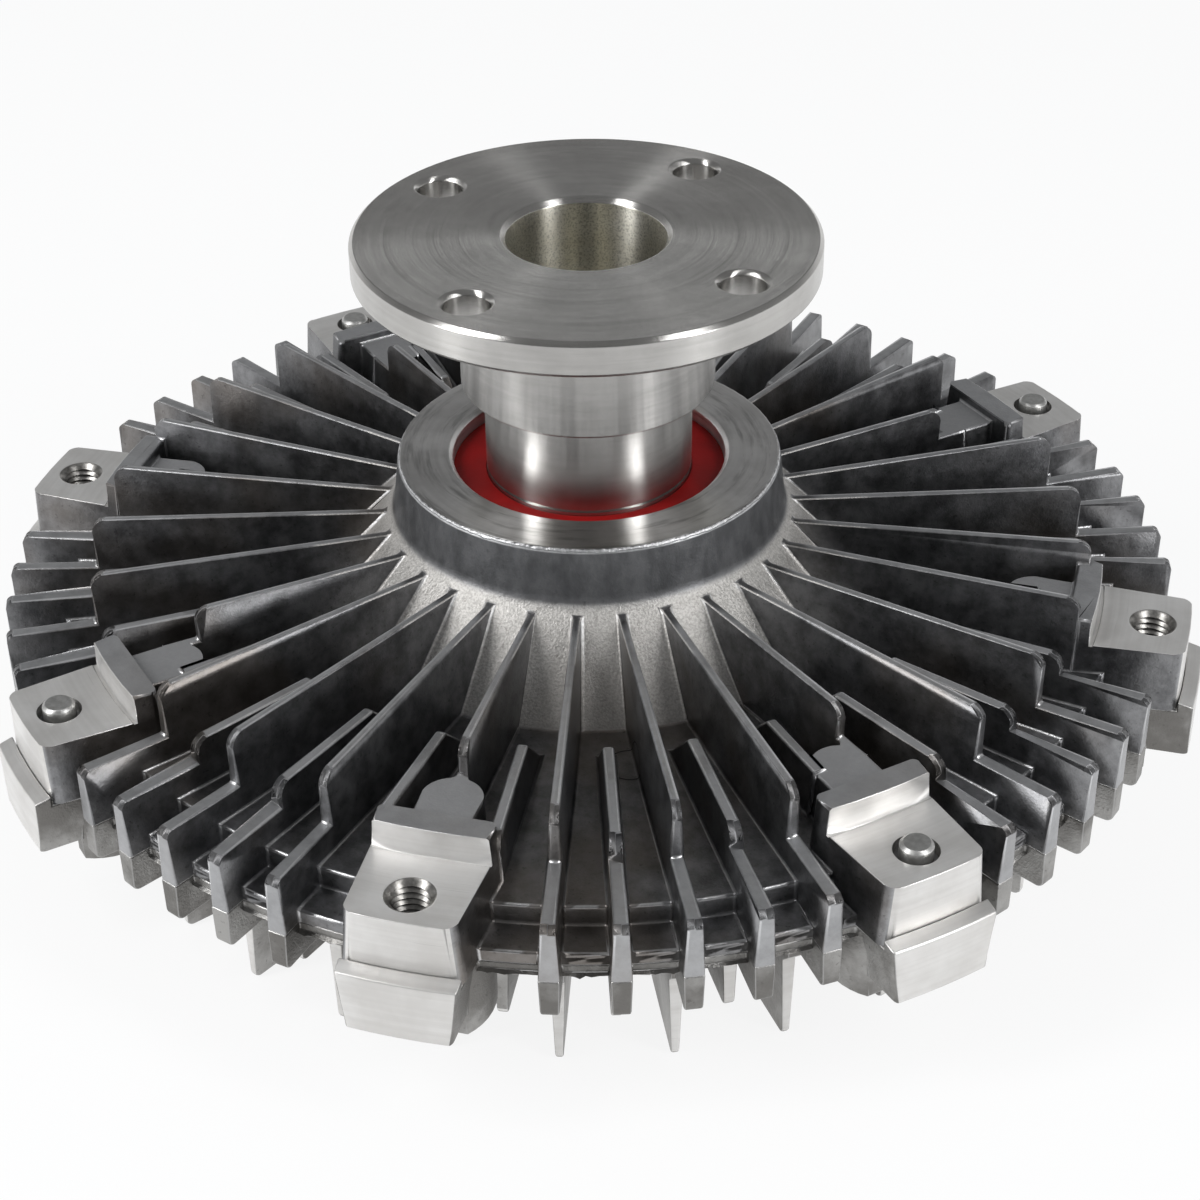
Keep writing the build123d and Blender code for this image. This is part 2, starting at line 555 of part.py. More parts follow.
# Front cover
def cover_shell():
    wall_foot_z = FLOOR_Z - COVER_WALL
    outline = [
        (RIM_EDGE_RADIUS, PARTING_Z),
        (RIM_EDGE_RADIUS, PARTING_Z - COVER_RIM_THICKNESS),
        (COVER_WALL_TOP_RADIUS, PARTING_Z - COVER_WALL_TOP_DEPTH),
        (CHAMBER_RADIUS, wall_foot_z + COVER_WALL / 2),
        (CHAMBER_RADIUS - COVER_WALL, wall_foot_z),
        (COVER_SHOULDER_RADIUS, wall_foot_z),
        (COVER_BELLY_RADIUS, BELLY_Z),
        (0, BELLY_Z),
        (0, RESERVOIR_Z),
        (RESERVOIR_RADIUS, RESERVOIR_Z),
        (RESERVOIR_RADIUS, PLATE_FOOT_Z),
        (PLATE_RADIUS, PLATE_FOOT_Z),
        (PLATE_RADIUS, FLOOR_Z),
        (CHAMBER_RADIUS, FLOOR_Z),
        (CHAMBER_RADIUS, PARTING_Z),
    ]
    return revolved(outline)


def front_fin(tall, meets_screw_boss):
    """One cover fin along +X; those that meet a screw boss have no foot under the rim."""
    root_z = (BELLY_Z + RESERVOIR_Z) / 2
    wall_z = FLOOR_Z - COVER_WALL / 2
    belly_radius = (COVER_BELLY_RADIUS + RESERVOIR_RADIUS) / 2
    if tall:
        end_z = 0.0
        radius = FRONT_FIN_RADIUS
        start = [(FRONT_FIN_INNER_RADIUS, root_z), (FRONT_FIN_INNER_RADIUS, end_z + FRONT_FIN_LEAD_IN)]
        start.append((FRONT_FIN_INNER_RADIUS + FRONT_FIN_LEAD_IN, end_z))
    else:
        end_z = SHORT_FRONT_FIN_LIFT
        radius = SHORT_FRONT_FIN_RADIUS
        start = [(SHORT_FRONT_FIN_START_RADIUS, root_z), (SHORT_FRONT_FIN_START_RADIUS, end_z)]
    tip = (radius, end_z)
    turned_z = FRONT_FIN_TURNED_HEIGHT
    if not meets_screw_boss:
        end = [tip, (radius, turned_z), (FIN_FOOT_STEP_RADIUS, turned_z + FIN_FOOT_STEP_RADIUS - radius)]
        end += [(FIN_FOOT_STEP_RADIUS, FIN_FOOT_Z), (RIM_RADIUS, FIN_FOOT_Z), (RIM_RADIUS, PARTING_Z)]
        end.append((FIN_FOOT_STEP_RADIUS + SEAL_RING_SECTION * 2, PARTING_Z))
        rounded = [(tip, FRONT_FIN_CORNER_RADIUS), ((RIM_RADIUS, FIN_FOOT_Z), FRONT_FIN_CORNER_RADIUS)]
        end.append((FIN_FOOT_STEP_RADIUS + SEAL_RING_SECTION * 2, PARTING_Z - COVER_RIM_THICKNESS))
        end.append((radius, PARTING_Z - COVER_WALL_TOP_DEPTH))
    else:
        end = [tip, (radius, PARTING_Z - COVER_WALL_TOP_DEPTH)]
        rounded = [(tip, FRONT_FIN_CORNER_RADIUS)]
    end += [(CHAMBER_RADIUS - COVER_WALL / 2, wall_z), (belly_radius, wall_z), (belly_radius, root_z)]
    outline = rounded_outline(start + end, rounded)
    root_thickness = FRONT_FIN_END_THICKNESS + 2 * FRONT_FIN_SIDE_DRAFT * PARTING_Z
    return drafted_fin(outline, 0.0, FRONT_FIN_END_THICKNESS, PARTING_Z, root_thickness)


def cover_block():
    """Block under a boss: lip around the housing, turned outer face, round screw boss behind."""
    outer = BLOCK_RADIUS + BLOCK_CORNER_RADIUS / 2
    corners = [
        (BLOCK_INNER_RADIUS, -BLOCK_HALF_WIDTH),
        (outer, -BLOCK_HALF_WIDTH),
        (outer, BLOCK_HALF_WIDTH),
        (BLOCK_INNER_RADIUS, BLOCK_HALF_WIDTH),
    ]
    plan = rounded_outline(corners, [(corners[1], BLOCK_CORNER_RADIUS), (corners[2], BLOCK_CORNER_RADIUS)])
    downward = Plane(origin=(0, 0, LIP_TOP_Z), x_dir=(1, 0, 0), z_dir=(0, 0, -1))
    casting = extrude(downward * plan, LIP_TOP_Z - BLOCK_FOOT_Z, taper=BLOCK_DRAFT)
    casting &= rod(BLOCK_RADIUS, BLOCK_FOOT_Z, LIP_TOP_Z)
    lip_inner = PAD_RADIUS + LIP_CLEARANCE
    casting -= rod(lip_inner, PARTING_Z, LIP_TOP_Z)
    bevel = [(lip_inner, LIP_TOP_Z), (BLOCK_RADIUS, LIP_TOP_Z - LIP_BEVEL), (BLOCK_RADIUS + 1, LIP_TOP_Z)]
    casting -= revolved(bevel)
    boss = rod(SCREW_BOSS_RADIUS, SCREW_BOSS_FOOT_Z, PARTING_Z, SCREW_BOSS_CENTRE_RADIUS)
    flat_end = SCREW_BOSS_CENTRE_RADIUS + SCREW_BOSS_RADIUS + 1
    boss -= block(SCREW_BOSS_FLAT_RADIUS, flat_end, SCREW_BOSS_RADIUS + 1, SCREW_BOSS_FOOT_Z, BLOCK_FOOT_Z)
    return [casting, boss - rod(CHAMBER_RADIUS, SCREW_BOSS_FOOT_Z, PARTING_Z)]


def stop_angle(contact):
    """Angle between the arm's middle line and a stop that it meets after a given turn."""
    reach = ARM_WAIST + ARM_STOP_RADIUS + ARM_STOP_CLEARANCE
    return degrees(asin(reach / ARM_STOP_CIRCLE_RADIUS)) + contact


def coil_post():
    """Slotted post that holds the coil's outer end, along +X."""
    post = rod(COIL_POST_RADIUS, COIL_FOOT_Z, BELLY_Z, COIL_POST_CIRCLE_RADIUS)
    slot = block(COIL_END_RADIUS, COIL_POST_CIRCLE_RADIUS, COIL_STRIP_THICKNESS / 2, COIL_FOOT_Z, COIL_TOP_Z)
    return post - Pos(0, COIL_STRIP_THICKNESS / 2, 0) * slot


def front_cover():
    solid = cover_shell()
    pieces = [rod(VALVE_HUB_RADIUS, HUB_FOOT_Z, HUB_TOP_Z), Rot(0, 0, coil_end_angle()) * coil_post()]
    stop = rod(ARM_STOP_RADIUS, RESERVOIR_Z - COVER_WALL / 2, ARM_TOP_Z, ARM_STOP_CIRCLE_RADIUS)
    pieces.append(Rot(0, 0, -stop_angle(0)) * stop)
    pieces.append(Rot(0, 0, stop_angle(VALVE_TURN)) * stop)
    for number in range(FIN_COUNT):
        meets_screw_boss = fin_meets(SCREW_BOSS_RADIUS, SCREW_BOSS_CENTRE_RADIUS, number)
        fin = front_fin(fin_number_is_tall(number), meets_screw_boss)
        pieces.append(Rot(0, 0, fin_angle(number)) * fin)
    for piece in cover_block():
        pieces += turned_about(piece, BOSS_ANGLES)
    solid = solid + pieces
    cutters = [rod(SPINDLE_RADIUS + SPINDLE_CLEARANCE, HUB_FOOT_Z, HUB_TOP_Z)]
    groove_radius = SEAL_RING_INNER_RADIUS + SEAL_RING_SECTION
    cutters.append(tube(groove_radius, SEAL_RING_INNER_RADIUS, PARTING_Z - SEAL_RING_SECTION, PARTING_Z))
    pocket = rod(FAN_HOLE_RADIUS, PARTING_Z - FAN_POCKET_DEPTH, PARTING_Z, FAN_HOLE_CIRCLE_RADIUS)
    cutters += turned_about(pocket, FAN_ANGLES)
    hole_radius = COVER_SCREW_RADIUS + SCREW_HOLE_CLEARANCE
    screw_hole = rod(hole_radius, SCREW_SEAT_Z, PARTING_Z, FAN_HOLE_CIRCLE_RADIUS)
    counterbore_radius = WASHER_RADIUS + COUNTERBORE_CLEARANCE
    counterbore = rod(counterbore_radius, SCREW_BOSS_FOOT_Z, SCREW_SEAT_Z, FAN_HOLE_CIRCLE_RADIUS)
    cutters += turned_about(screw_hole, SCREW_ANGLES) + turned_about(counterbore, SCREW_ANGLES)
    plate_hole = rod(PLATE_SCREW_RADIUS, FLOOR_Z - PLATE_SCREW_LENGTH, PLATE_FOOT_Z, plate_screw_circle())
    cutters += turned_about(plate_hole, plate_screw_angles())
    plug_hole = rod(FILL_PLUG_RADIUS, BELLY_Z, RESERVOIR_Z, FILL_PLUG_CIRCLE_RADIUS)
    cutters.append(Rot(0, 0, fin_angle(1)) * plug_hole)
    return solid - cutters


# Screws, washers, seal ring and plug of the cover
def cover_screw():
    tip_z = PAD_Z + COVER_SCREW_STAND_OUT
    seat_z = SCREW_SEAT_Z - WASHER_THICKNESS
    head_z = seat_z - COVER_SCREW_HEAD_HEIGHT
    outline = [
        (0, head_z),
        (COVER_SCREW_HEAD_RADIUS, head_z),
        (COVER_SCREW_HEAD_RADIUS, seat_z),
        (COVER_SCREW_RADIUS, seat_z),
        (COVER_SCREW_RADIUS, tip_z - COVER_SCREW_TIP_CHAMFER),
        (COVER_SCREW_RADIUS - COVER_SCREW_TIP_CHAMFER, tip_z),
        (0, tip_z),
    ]
    socket = RegularPolygon(COVER_SCREW_HEX_RADIUS, 6)
    socket = extrude(Plane.XY.offset(head_z) * socket, COVER_SCREW_HEX_DEPTH)
    return Pos(FAN_HOLE_CIRCLE_RADIUS, 0, 0) * (revolved(outline) - socket)


def cover_screw_washer():
    washer = tube(WASHER_RADIUS, COVER_SCREW_RADIUS, SCREW_SEAT_Z - WASHER_THICKNESS, SCREW_SEAT_Z)
    return Pos(FAN_HOLE_CIRCLE_RADIUS, 0, 0) * washer


def cover_seal_ring():
    outer = SEAL_RING_INNER_RADIUS + SEAL_RING_SECTION
    return tube(outer, SEAL_RING_INNER_RADIUS, PARTING_Z - SEAL_RING_SECTION, PARTING_Z)


def fill_plug():
    nose_z = BELLY_Z - FILL_PLUG_STAND_OUT
    plug = rod(FILL_PLUG_RADIUS, nose_z, RESERVOIR_Z, FILL_PLUG_CIRCLE_RADIUS)
    return Rot(0, 0, fin_angle(1)) * plug


# Separator plate with its ports and screws
def plate_screw_circle():
    return (RESERVOIR_RADIUS + PLATE_RADIUS) / 2


def plate_screw_angles():
    return [BOSS_START + 360.0 / PLATE_SCREW_COUNT * k for k in range(PLATE_SCREW_COUNT)]


def separator_plate():
    plate = rod(PLATE_RADIUS - PLATE_FIT_CLEARANCE, PLATE_FOOT_Z, FLOOR_Z)
    port = rod(PLATE_PORT_RADIUS, PLATE_FOOT_Z, FLOOR_Z, PLATE_PORT_CIRCLE_RADIUS)
    screw_hole = rod(PLATE_SCREW_RADIUS, PLATE_FOOT_Z, FLOOR_Z, plate_screw_circle())
    mouth = cone_mouth(PLATE_SCREW_RADIUS, PLATE_SCREW_HEAD_RADIUS, FLOOR_Z, plate_screw_circle())
    cutters = turned_about(port, [0, 180]) + turned_about(screw_hole, plate_screw_angles())
    return plate - (cutters + turned_about(mouth, plate_screw_angles()))


def plate_screw():
    neck_z = FLOOR_Z - (PLATE_SCREW_HEAD_RADIUS - PLATE_SCREW_RADIUS)
    foot_z = FLOOR_Z - PLATE_SCREW_LENGTH
    outline = [(0, foot_z), (PLATE_SCREW_RADIUS, foot_z), (PLATE_SCREW_RADIUS, neck_z)]
    outline += [(PLATE_SCREW_HEAD_RADIUS, FLOOR_Z), (0, FLOOR_Z)]
    return Pos(plate_screw_circle(), 0, 0) * revolved(outline)


# Input shaft, rotor and bearing
def input_shaft():
    collar_z = ROTOR_FOOT_Z + ROTOR_COLLAR_THICKNESS
    bore_foot_z = FLANGE_TOP_Z - CENTRE_BORE_DEPTH
    mouth_radius = CENTRE_BORE_RADIUS + CENTRE_BORE_MOUTH_CHAMFER
    line_z = SEAL_TOP_Z + SEAL_LINE_WIDTH
    outline = [
        (0, bore_foot_z - DRILL_POINT_DEPTH),
        (CENTRE_BORE_RADIUS, bore_foot_z),
        (CENTRE_BORE_RADIUS, FLANGE_TOP_Z - CENTRE_BORE_MOUTH_CHAMFER),
        (mouth_radius, FLANGE_TOP_Z),
        (FLANGE_RADIUS - FLANGE_EDGE_CHAMFER, FLANGE_TOP_Z),
        (FLANGE_RADIUS, FLANGE_TOP_Z - FLANGE_EDGE_CHAMFER),
        (FLANGE_RADIUS, FLANGE_UNDER_Z + FLANGE_EDGE_CHAMFER),
        (FLANGE_RADIUS - FLANGE_EDGE_CHAMFER, FLANGE_UNDER_Z),
        (NECK_RADIUS, FLANGE_UNDER_Z),
        (NECK_RADIUS, NECK_FOOT_Z + NECK_EDGE_CHAMFER),
        (NECK_RADIUS - NECK_EDGE_CHAMFER, NECK_FOOT_Z),
        (SEAL_SEAT_RADIUS, NECK_FOOT_Z),
        (SEAL_SEAT_RADIUS, line_z + SEAL_LINE_WIDTH),
        (SEAL_SEAT_RADIUS - SEAL_LINE_DEPTH, line_z + SEAL_LINE_WIDTH),
        (SEAL_SEAT_RADIUS - SEAL_LINE_DEPTH, line_z),
        (SEAL_SEAT_RADIUS, line_z),
        (SEAL_SEAT_RADIUS, BEARING_TOP_Z),
        (BEARING_BORE_RADIUS, BEARING_TOP_Z),
        (BEARING_BORE_RADIUS, BEARING_FOOT_Z),
        (ROTOR_SEAT_RADIUS, BEARING_FOOT_Z),
        (ROTOR_SEAT_RADIUS, collar_z),
        (ROTOR_COLLAR_RADIUS, collar_z),
        (ROTOR_COLLAR_RADIUS, ROTOR_FOOT_Z),
        (0, ROTOR_FOOT_Z),
    ]
    hole = rod(FLANGE_HOLE_RADIUS, FLANGE_UNDER_Z, FLANGE_TOP_Z, FLANGE_HOLE_CIRCLE_RADIUS)
    mouth = cone_mouth(FLANGE_HOLE_RADIUS, FLANGE_HOLE_MOUTH_RADIUS, FLANGE_TOP_Z, FLANGE_HOLE_CIRCLE_RADIUS)
    step = 360.0 / FLANGE_HOLE_COUNT
    angles = [BOSS_START + FLANGE_CLOCK + step * k for k in range(FLANGE_HOLE_COUNT)]
    return revolved(outline) - (turned_about(hole, angles) + turned_about(mouth, angles))


def rotor():
    collar_z = ROTOR_FOOT_Z + ROTOR_COLLAR_THICKNESS
    outline = [
        (ROTOR_SEAT_RADIUS, BEARING_FOOT_Z),
        (ROTOR_HUB_RADIUS, BEARING_FOOT_Z),
        (ROTOR_HUB_RADIUS, WEB_TOP_Z),
        (ROTOR_RADIUS, WEB_TOP_Z),
        (ROTOR_RADIUS, ROTOR_FOOT_Z),
        (ROTOR_COLLAR_RADIUS, ROTOR_FOOT_Z),
        (ROTOR_COLLAR_RADIUS, collar_z),
        (ROTOR_SEAT_RADIUS, collar_z),
    ]
    first_land = CONE_FOOT_RADIUS + LAND_THICKNESS + LAND_CLEARANCE
    lands = ring_lands(first_land, WEB_TOP_Z - ROTOR_WEB / 2, CEILING_Z - ROTOR_GAP)
    port = rod(ROTOR_PORT_RADIUS, ROTOR_FOOT_Z, WEB_TOP_Z, ROTOR_PORT_CIRCLE_RADIUS)
    angles = [360.0 / ROTOR_PORT_COUNT * k for k in range(ROTOR_PORT_COUNT)]
    return revolved(outline) + lands - turned_about(port, angles)


def race_cutter():
    ring = Plane.XZ * Pos(PITCH_RADIUS, BEARING_MID_Z) * Circle(BALL_RADIUS + RACE_CLEARANCE)
    return revolve(ring, Axis.Z)


def bearing_ring(outer, inner):
    edge = BEARING_EDGE_CHAMFER if outer == BEARING_RADIUS else 0.0
    bore_edge = BEARING_EDGE_CHAMFER if inner == BEARING_BORE_RADIUS else 0.0
    outline = [
        (inner, BEARING_FOOT_Z + bore_edge),
        (inner + bore_edge, BEARING_FOOT_Z),
        (outer - edge, BEARING_FOOT_Z),
        (outer, BEARING_FOOT_Z + edge),
        (outer, BEARING_TOP_Z - edge),
        (outer - edge, BEARING_TOP_Z),
        (inner + bore_edge, BEARING_TOP_Z),
        (inner, BEARING_TOP_Z - bore_edge),
    ]
    points = [point for place, point in enumerate(outline) if point != outline[place - 1]]
    return revolved(points) - race_cutter()


def bearing_balls():
    ball = Pos(PITCH_RADIUS, 0, BEARING_MID_Z) * Sphere(BALL_RADIUS)
    return turned_about(ball, ball_angles())


def ball_angles():
    return [360.0 / BALL_COUNT * k for k in range(BALL_COUNT)]


def bearing_cage():
    half = CAGE_WIDTH / 2
    outer = BEARING_LAND_RADIUS - CAGE_SIDE_CLEARANCE
    inner = BEARING_SHOULDER_RADIUS + CAGE_SIDE_CLEARANCE
    cage = tube(outer, inner, BEARING_MID_Z - half, BEARING_MID_Z + half)
    pocket = Plane.YZ * Pos(0, BEARING_MID_Z) * Circle(BALL_RADIUS + CAGE_POCKET_CLEARANCE)
    return cage - turned_about(extrude(pocket, BEARING_RADIUS), ball_angles())


def bearing_shields():
    inner = BEARING_SHOULDER_RADIUS + SHIELD_CLEARANCE
    top = BEARING_TOP_Z - SHIELD_INSET
    foot = BEARING_FOOT_Z + SHIELD_INSET
    upper = tube(BEARING_LAND_RADIUS, inner, top - SHIELD_THICKNESS, top)
    return [upper, tube(BEARING_LAND_RADIUS, inner, foot, foot + SHIELD_THICKNESS)]


def bearing_retaining_ring():
    outer = BEARING_RADIUS + RETAINING_RING_GROOVE_DEPTH
    foot = BEARING_FOOT_Z - RETAINING_RING_THICKNESS
    ring = tube(outer, outer - RETAINING_RING_WIDTH, foot, BEARING_FOOT_Z)
    half = RETAINING_RING_GAP / 2
    edge = (2 * outer * cos(radians(half)), 2 * outer * sin(radians(half)))
    gap = make_face(Polyline((0, 0), edge, (edge[0], -edge[1]), close=True))
    return ring - extrude(Plane.XY.offset(foot) * gap, RETAINING_RING_THICKNESS)


# Shaft seal and its garter spring
def seal_lip_radius():
    return SEAL_SEAT_RADIUS + SEAL_RUNNING_CLEARANCE


def spring_centre():
    radius = seal_lip_radius() + SEAL_LIP_THICKNESS + SEAL_SPRING_RADIUS
    return radius, SEAL_TOP_Z - SEAL_LIP_LENGTH + SEAL_SPRING_RADIUS


def shaft_seal():
    lip_z = SEAL_TOP_Z - SEAL_LIP_LENGTH
    lip_radius = seal_lip_radius()
    outline = [
        (lip_radius, SEAL_TOP_Z),
        (SEAL_RADIUS, SEAL_TOP_Z),
        (SEAL_RADIUS, SEAL_FOOT_Z),
        (SEAL_RADIUS - SEAL_WALL, SEAL_FOOT_Z),
        (SEAL_RADIUS - SEAL_WALL, SEAL_TOP_Z - SEAL_WALL),
        (lip_radius + SEAL_LIP_THICKNESS, SEAL_TOP_Z - SEAL_WALL),
        (lip_radius + SEAL_LIP_THICKNESS, lip_z),
        (lip_radius, lip_z),
    ]
    return revolved(outline)


def seal_spring():
    radius, height = spring_centre()
    return revolve(Plane.XZ * Pos(radius, height) * Circle(SEAL_SPRING_RADIUS), Axis.Z)


# Valve: spindle, arm, seal ring and clip
def spindle_seal_z():
    return (BELLY_Z + RESERVOIR_Z) / 2


def valve_spindle():
    groove = SPINDLE_RADIUS - SPINDLE_SEAL_GROOVE
    seal_half = SPINDLE_SEAL_SECTION / 2
    outline = [
        (0, COIL_FOOT_Z),
        (SPINDLE_RADIUS, COIL_FOOT_Z),
        (SPINDLE_RADIUS, CLIP_FOOT_Z),
        (CLIP_INNER_RADIUS, CLIP_FOOT_Z),
        (CLIP_INNER_RADIUS, CLIP_TOP_Z),
        (SPINDLE_RADIUS, CLIP_TOP_Z),
        (SPINDLE_RADIUS, spindle_seal_z() - seal_half),
        (groove, spindle_seal_z() - seal_half),
        (groove, spindle_seal_z() + seal_half),
        (SPINDLE_RADIUS, spindle_seal_z() + seal_half),
        (SPINDLE_RADIUS, HUB_TOP_Z + VALVE_END_PLAY),
        (SPINDLE_COLLAR_RADIUS, HUB_TOP_Z + VALVE_END_PLAY),
        (SPINDLE_COLLAR_RADIUS, ARM_FOOT_Z),
        (SPINDLE_RIVET_RADIUS, ARM_FOOT_Z),
        (SPINDLE_RIVET_RADIUS, ARM_TOP_Z),
        (0, ARM_TOP_Z),
    ]
    slot_half = COIL_STRIP_THICKNESS / 2 + COIL_SLOT_CLEARANCE
    slot = block(0, SPINDLE_RADIUS + 1, slot_half, COIL_FOOT_Z, COIL_TOP_Z + COIL_SLOT_CLEARANCE)
    return revolved(outline) - slot


def valve_arm():
    waist = Rectangle(2 * PLATE_PORT_CIRCLE_RADIUS, 2 * ARM_WAIST)
    plan = Circle(ARM_HUB_RADIUS) + waist
    plan += Pos(PLATE_PORT_CIRCLE_RADIUS, 0) * Circle(ARM_PAD_RADIUS)
    plan += Pos(-PLATE_PORT_CIRCLE_RADIUS, 0) * Circle(ARM_PAD_RADIUS)
    plan -= Circle(SPINDLE_RIVET_RADIUS)
    return extrude(Plane.XY.offset(ARM_FOOT_Z) * plan, ARM_THICKNESS)


def spindle_seal_ring():
    outer = SPINDLE_RADIUS
    half = SPINDLE_SEAL_SECTION / 2
    middle = spindle_seal_z()
    return tube(outer, outer - SPINDLE_SEAL_GROOVE, middle - half, middle + half)


def spindle_clip():
    outer = CLIP_INNER_RADIUS + CLIP_WIDTH
    mouth = block(0, outer + 1, CLIP_INNER_RADIUS - CLIP_MOUTH_GRIP, CLIP_FOOT_Z, CLIP_TOP_Z)
    return tube(outer, CLIP_INNER_RADIUS, CLIP_FOOT_Z, CLIP_TOP_Z) - mouth


# Bimetal coil made of half turns that grow outward
def coil_end_angle():
    return 180.0 * (COIL_HALF_TURNS % 2)


def half_turn(centre, radius, upper):
    outer = radius + COIL_STRIP_THICKNESS / 2
    inner = radius - COIL_STRIP_THICKNESS / 2
    ring = Circle(outer) - Circle(inner)
    side = 1 if upper else -1
    ring &= Pos(0, side * outer) * Rectangle(2 * outer, 2 * outer)
    return Pos(centre, 0) * ring


def bimetal_coil():
    half_pitch = COIL_PITCH / 2
    plan = None
    for number in range(COIL_HALF_TURNS):
        radius = COIL_INNER_RADIUS + half_pitch * (number + 0.5)
        side = 1 if number % 2 == 0 else -1
        centre = -side * half_pitch / 2
        turn = half_turn(centre, radius, side > 0)
        plan = turn if plan is None else plan + turn
    start = COIL_INNER_RADIUS + COIL_STRIP_THICKNESS / 2
    plan += Pos(start / 2, 0) * Rectangle(start, COIL_STRIP_THICKNESS)
    tail_start = COIL_END_RADIUS - COIL_STRIP_THICKNESS / 2
    tail_length = COIL_POST_CIRCLE_RADIUS - tail_start
    tail_middle = Pos(tail_start + tail_length / 2, COIL_STRIP_THICKNESS / 2)
    plan += Rot(0, 0, coil_end_angle()) * tail_middle * Rectangle(tail_length, COIL_STRIP_THICKNESS)
    return extrude(Plane.XY.offset(COIL_FOOT_Z) * plan, COIL_STRIP_WIDTH)


# Writing one STEP file for each piece
def as_solids(shape):
    shapes = shape if isinstance(shape, list) else [shape]
    solids = [solid for item in shapes for solid in item.solids()]
    return solids[0] if len(solids) == 1 else Compound(solids)


PIECES = {
    "rear_housing": rear_housing,
    "front_cover": front_cover,
    "input_shaft": input_shaft,
    "shaft_seal": shaft_seal,
    "seal_spring": seal_spring,
    "cover_screws": lambda: turned_about(cover_screw(), SCREW_ANGLES),
    "cover_screw_washers": lambda: turned_about(cover_screw_washer(), SCREW_ANGLES),
    "cover_seal_ring": cover_seal_ring,
    "fill_plug": fill_plug,
    "bearing_outer_ring": lambda: bearing_ring(BEARING_RADIUS, BEARING_LAND_RADIUS),
    "bearing_inner_ring": lambda: bearing_ring(BEARING_SHOULDER_RADIUS, BEARING_BORE_RADIUS),
    "bearing_balls": bearing_balls,
    "bearing_cage": bearing_cage,
    "bearing_shields": bearing_shields,
    "bearing_retaining_ring": bearing_retaining_ring,
    "rotor": rotor,
    "separator_plate": separator_plate,
    "plate_screws": lambda: turned_about(plate_screw(), plate_screw_angles()),
    "valve_spindle": valve_spindle,
    "valve_arm": valve_arm,
    "spindle_seal_ring": spindle_seal_ring,
    "spindle_clip": spindle_clip,
    "bimetal_coil": bimetal_coil,
}

os.makedirs("parts", exist_ok=True)
for name, make_piece in PIECES.items():
    export_step(as_solids(make_piece()), f"parts/{name}.step")
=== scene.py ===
import math
import bpy
import bmesh
from mathutils import Matrix, Vector, noise


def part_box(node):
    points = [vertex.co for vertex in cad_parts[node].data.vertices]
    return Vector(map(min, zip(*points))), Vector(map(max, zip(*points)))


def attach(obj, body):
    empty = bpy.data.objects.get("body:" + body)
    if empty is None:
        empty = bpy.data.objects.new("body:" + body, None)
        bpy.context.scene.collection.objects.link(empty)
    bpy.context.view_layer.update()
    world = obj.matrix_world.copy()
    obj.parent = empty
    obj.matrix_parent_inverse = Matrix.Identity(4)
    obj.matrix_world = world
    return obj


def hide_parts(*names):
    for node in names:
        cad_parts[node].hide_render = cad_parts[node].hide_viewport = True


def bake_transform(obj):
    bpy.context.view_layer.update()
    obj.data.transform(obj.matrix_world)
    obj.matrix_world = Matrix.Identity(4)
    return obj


# Finishes, rounded edges, threads, floor, lamps and camera of the viscous fan clutch, in metres
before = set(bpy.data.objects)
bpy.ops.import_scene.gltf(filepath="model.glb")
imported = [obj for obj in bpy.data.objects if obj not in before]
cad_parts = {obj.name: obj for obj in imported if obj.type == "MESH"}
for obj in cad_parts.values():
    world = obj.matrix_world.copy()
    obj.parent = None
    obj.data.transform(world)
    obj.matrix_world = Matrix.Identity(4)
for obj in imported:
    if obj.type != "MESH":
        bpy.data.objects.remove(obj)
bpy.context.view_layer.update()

# Levels above the floor
PARTING = 0.0335
DISC = 0.0400
PAD = 0.0458
TAB = 0.0490
RING_FOOT = 0.0570
RING_TOP = 0.0682
BORE_FOOT = 0.0700

# Radii about the axis
BORE_RADIUS = 0.0150
RING_MOUTH_RADIUS = 0.0340
RING_FACE_RADIUS = 0.0370
RING_WALL_RADIUS = 0.0397
CONE_FOOT_RADIUS = 0.0550
TAB_INNER_RADIUS = 0.0820
REGISTER_RADIUS = 0.1004
FLASH_RADIUS = 0.1106
FIN_END_RADIUS = 0.1130
PAD_RADIUS = 0.1179

# Cover: faces of its blocks, ends of its tall front fins and the level up to which these are turned
BLOCK_RADIUS = 0.1210
FRONT_FIN_RADIUS = 0.0985
FRONT_FIN_TURNED = 0.0180

# Holes in the eight pads, the four that take the fan, and their M8 thread
FAN_SIDES = ((0, -1), (1, 0), (0, 1), (-1, 0))
SCREW_SIDES = ((0.7071, 0.7071), (0.7071, -0.7071), (-0.7071, 0.7071), (-0.7071, -0.7071))
PAD_HOLE_CIRCLE = 0.11085
PAD_HOLE_REACH = 0.0045
FAN_HOLE_RADIUS = 0.0034
FAN_HOLE_MOUTH = 0.00105
THREAD_DEPTH = 0.0006
THREAD_PITCH = 0.00125
THREAD_FACETS = 24
THREAD_RUN_OUT = 0.00026

# Bimetal coil: the strip's thickness, its turns, and where the tongue leaves one body for the other
STRIP = 0.0009
COIL_START = 0.0064
COIL_PITCH = 0.0032
COIL_HALF_TURNS = 11
COIL_POST_CIRCLE = 0.02815
TONGUE_ON_HOUSING = (0.0062, 0, 0)
TONGUE_ON_VALVE = (0.0042, 0, 0)

# Widths over which edges are rounded
PAD_CORNER = 0.0022
HOUSING_EDGE = 0.0006
COVER_EDGE = 0.00035
CUT_EDGE = 0.0002
SHAFT_EDGE = 0.00015
STRIP_EDGE = 0.00012

# Points closer than this are one point
JOIN_REACH = 0.000002

# Part of a face's direction above which the face counts as looking that way
FACING = 0.9

# Number of a face's finish in the piece's own list
CAST, BRIGHT, RING, DRILLED = range(4)
OUTSIDE, BORE = range(2)

